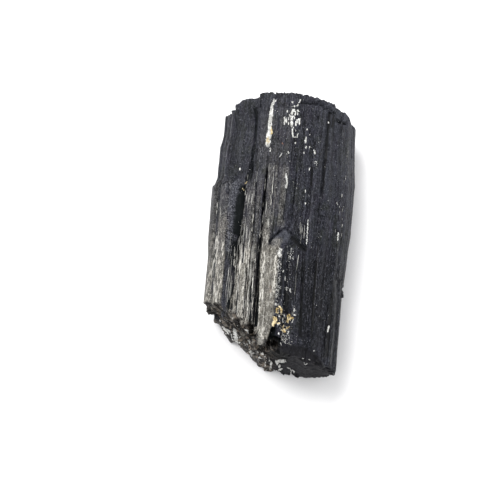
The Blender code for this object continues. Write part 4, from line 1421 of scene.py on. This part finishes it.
def patch_grains(rng, tree, kind, group, patch):
    """The grains of one patch of a mineral, where the photograph has it."""
    sizes, flat, sink = GRAINS[kind][1:]
    half_width, crowd, *line = patch
    back = camera_axes()[2]
    length = sum(math.dist(start, end) for start, end in zip(line[:-1], line[1:]))
    area = 2 * half_width * length + math.pi * half_width ** 2
    count = max(3, int(round(area * crowd)))
    grains = []
    for pixel in line_spots(rng, line, 0.85 * half_width, count):
        place, normal = tree.ray_cast(*pixel_ray(pixel))[:2]
        if place is None or normal.dot(back) < 0.12:
            continue
        size = min(rng.uniform(*sizes), 0.26 + 0.25 * half_width)
        if crowd < SPARSE:
            size *= SPARSE_SIZE
        elif group in GRAINS_ONLY:
            size *= GRAINS_ONLY_SIZE
        thick = size * flat
        centre = place + normal * thick * (0.5 - sink)
        if group == "stains":
            centre += normal * STAIN_RISE
        grains.append(grain_shape(rng, centre, normal, size, thick, 0.7))
    return grains


def glitter(rng, tree):
    """Bright flecks on the break."""
    grains = []
    for pixel in line_spots(rng, GLITTER_LINE, GLITTER_REACH, GLITTER_COUNT):
        place, normal = tree.ray_cast(*pixel_ray(pixel))[:2]
        if place is None or normal.z < 0.05:
            continue
        size = 0.22 * math.exp(rng.uniform(0, 1.5))
        centre = place + normal * size * 0.05
        grains.append(grain_shape(rng, centre, normal, size, 0.35 * size, 1.5))
    return grains


def dust(rng, tree):
    """Fine specks all over the side that the photograph shows."""
    grains = []
    for pixel in rng.uniform(*DUST_BOX, (DUST_COUNT, 2)):
        size = 0.09 * math.exp(abs(rng.normal(0, 0.45)))
        place, normal = tree.ray_cast(*pixel_ray(pixel))[:2]
        if place is None or normal.z < 0.1 or place.z < 6.0:
            continue
        grains.append(grain_shape(rng, place, normal, size, 0.5 * size, 0.5))
    return grains


def hidden_dust(rng, tree):
    """Sparse specks on the sides that the photograph does not show."""
    back = camera_axes()[2]
    grains = []
    for _ in range(HIDDEN_DUST_COUNT):
        angle = rng.uniform(0, 2 * math.pi)
        outward = Vector((math.cos(angle), 0, math.sin(angle)))
        start = Vector((0, rng.uniform(-44, 44), AXIS_HEIGHT)) + 60 * outward
        size = 0.12 * math.exp(abs(rng.normal(0, 0.6)))
        place, normal = tree.ray_cast(start, -outward)[:2]
        if place is None or place.z < 1.0 or normal.dot(back) > 0.3:
            continue
        grains.append(grain_shape(rng, place, normal, size, 0.5 * size, 0.5))
    return grains


def add_grains(tree):
    """Mica and ochre grains on the crystal's own surface."""
    rng = np.random.default_rng(GRAIN_SEED)
    for kind, (slot, *_) in GRAINS.items():
        grains = []
        for group, patches in MINERALS[kind].items():
            for patch in patches:
                grains += patch_grains(rng, tree, kind, group, patch)
        if kind == "white":
            grains += glitter(rng, tree)
            grains += dust(rng, tree)
            grains += hidden_dust(rng, tree)
        points = [tuple(place) for grain in grains for place in grain]
        faces = np.concatenate([GRAIN_FACES + 8 * index for index in range(len(grains))])
        add_piece(slot + "_grains", points, faces, slot, grain_material(slot))


def grain_material(slot):
    dark_side, light_side, flecks, fleck_range, roughness = GRAIN_LOOKS[slot]
    n = Nodes(slot)
    coarse = n.noise((900, 700, 900), 3.0)
    fine = n.noise((4200, 3600, 4200), 3.0, 0.6)
    colour = n.mix(n.ramp(coarse, 0.38, 0.64), dark_side, light_side)
    colour = n.mix(n.ramp(fine, *fleck_range), colour, flecks)
    n.link(colour, n.shader.inputs["Base Color"])
    n.link(n.ramp(fine, 0.3, 0.7, *roughness), n.shader.inputs["Roughness"])
    n.link(n.bump(fine, 0.00008, 0.5), n.shader.inputs["Normal"])
    return n.material


def add_camera():
    right, up, back = camera_axes()
    place = camera_place()
    data = bpy.data.cameras.new("camera")
    data.lens = LENS_MM
    data.sensor_width = SENSOR_MM
    data.clip_start = 0.01
    item = bpy.data.objects.new("camera", data)
    item.matrix_world = Matrix.Translation(place * MM) @ Matrix((
        (right.x, up.x, back.x, 0), (right.y, up.y, back.y, 0), (right.z, up.z, back.z, 0),
        (0, 0, 0, 1),
    ))
    bpy.context.scene.collection.objects.link(item)
    bpy.context.scene.camera = item
    return item


def add_light(name, place, aim, size, power, colour):
    data = bpy.data.lights.new(name, "AREA")
    data.shape = "RECTANGLE"
    data.size, data.size_y = size
    data.energy = power
    data.color = colour
    item = bpy.data.objects.new(name, data)
    item.location = place
    item.rotation_euler = (Vector(aim) - Vector(place)).to_track_quat("-Z", "Y").to_euler()
    bpy.context.scene.collection.objects.link(item)
    return item


def add_floor():
    bpy.ops.mesh.primitive_plane_add(size=6.0, location=(0, 0, 0))
    floor = bpy.context.object
    floor.name = "floor"
    floor.data.materials.append(plain_material("floor_paper", (0.93, 0.93, 0.94), 0.8))


def light_scene():
    world = bpy.data.worlds.new("studio")
    world.use_nodes = True
    world.node_tree.nodes["Background"].inputs[0].default_value = (1.0, 1.0, 1.0, 1)
    world.node_tree.nodes["Background"].inputs[1].default_value = 0.95
    bpy.context.scene.world = world
    add_light("key", (-0.24, 0.20, 0.62), (0, 0, 0.02), (0.36, 0.36), 4.6, (1.0, 0.99, 0.98))


surface = crystal_surface()
dress(surface, "schorl", schorl_material())
tree = mesh_tree(surface.data)
add_grains(tree)
add_slivers(tree)
add_floor()
add_camera()
light_scene()
bpy.context.scene.view_settings.view_transform = "Standard"
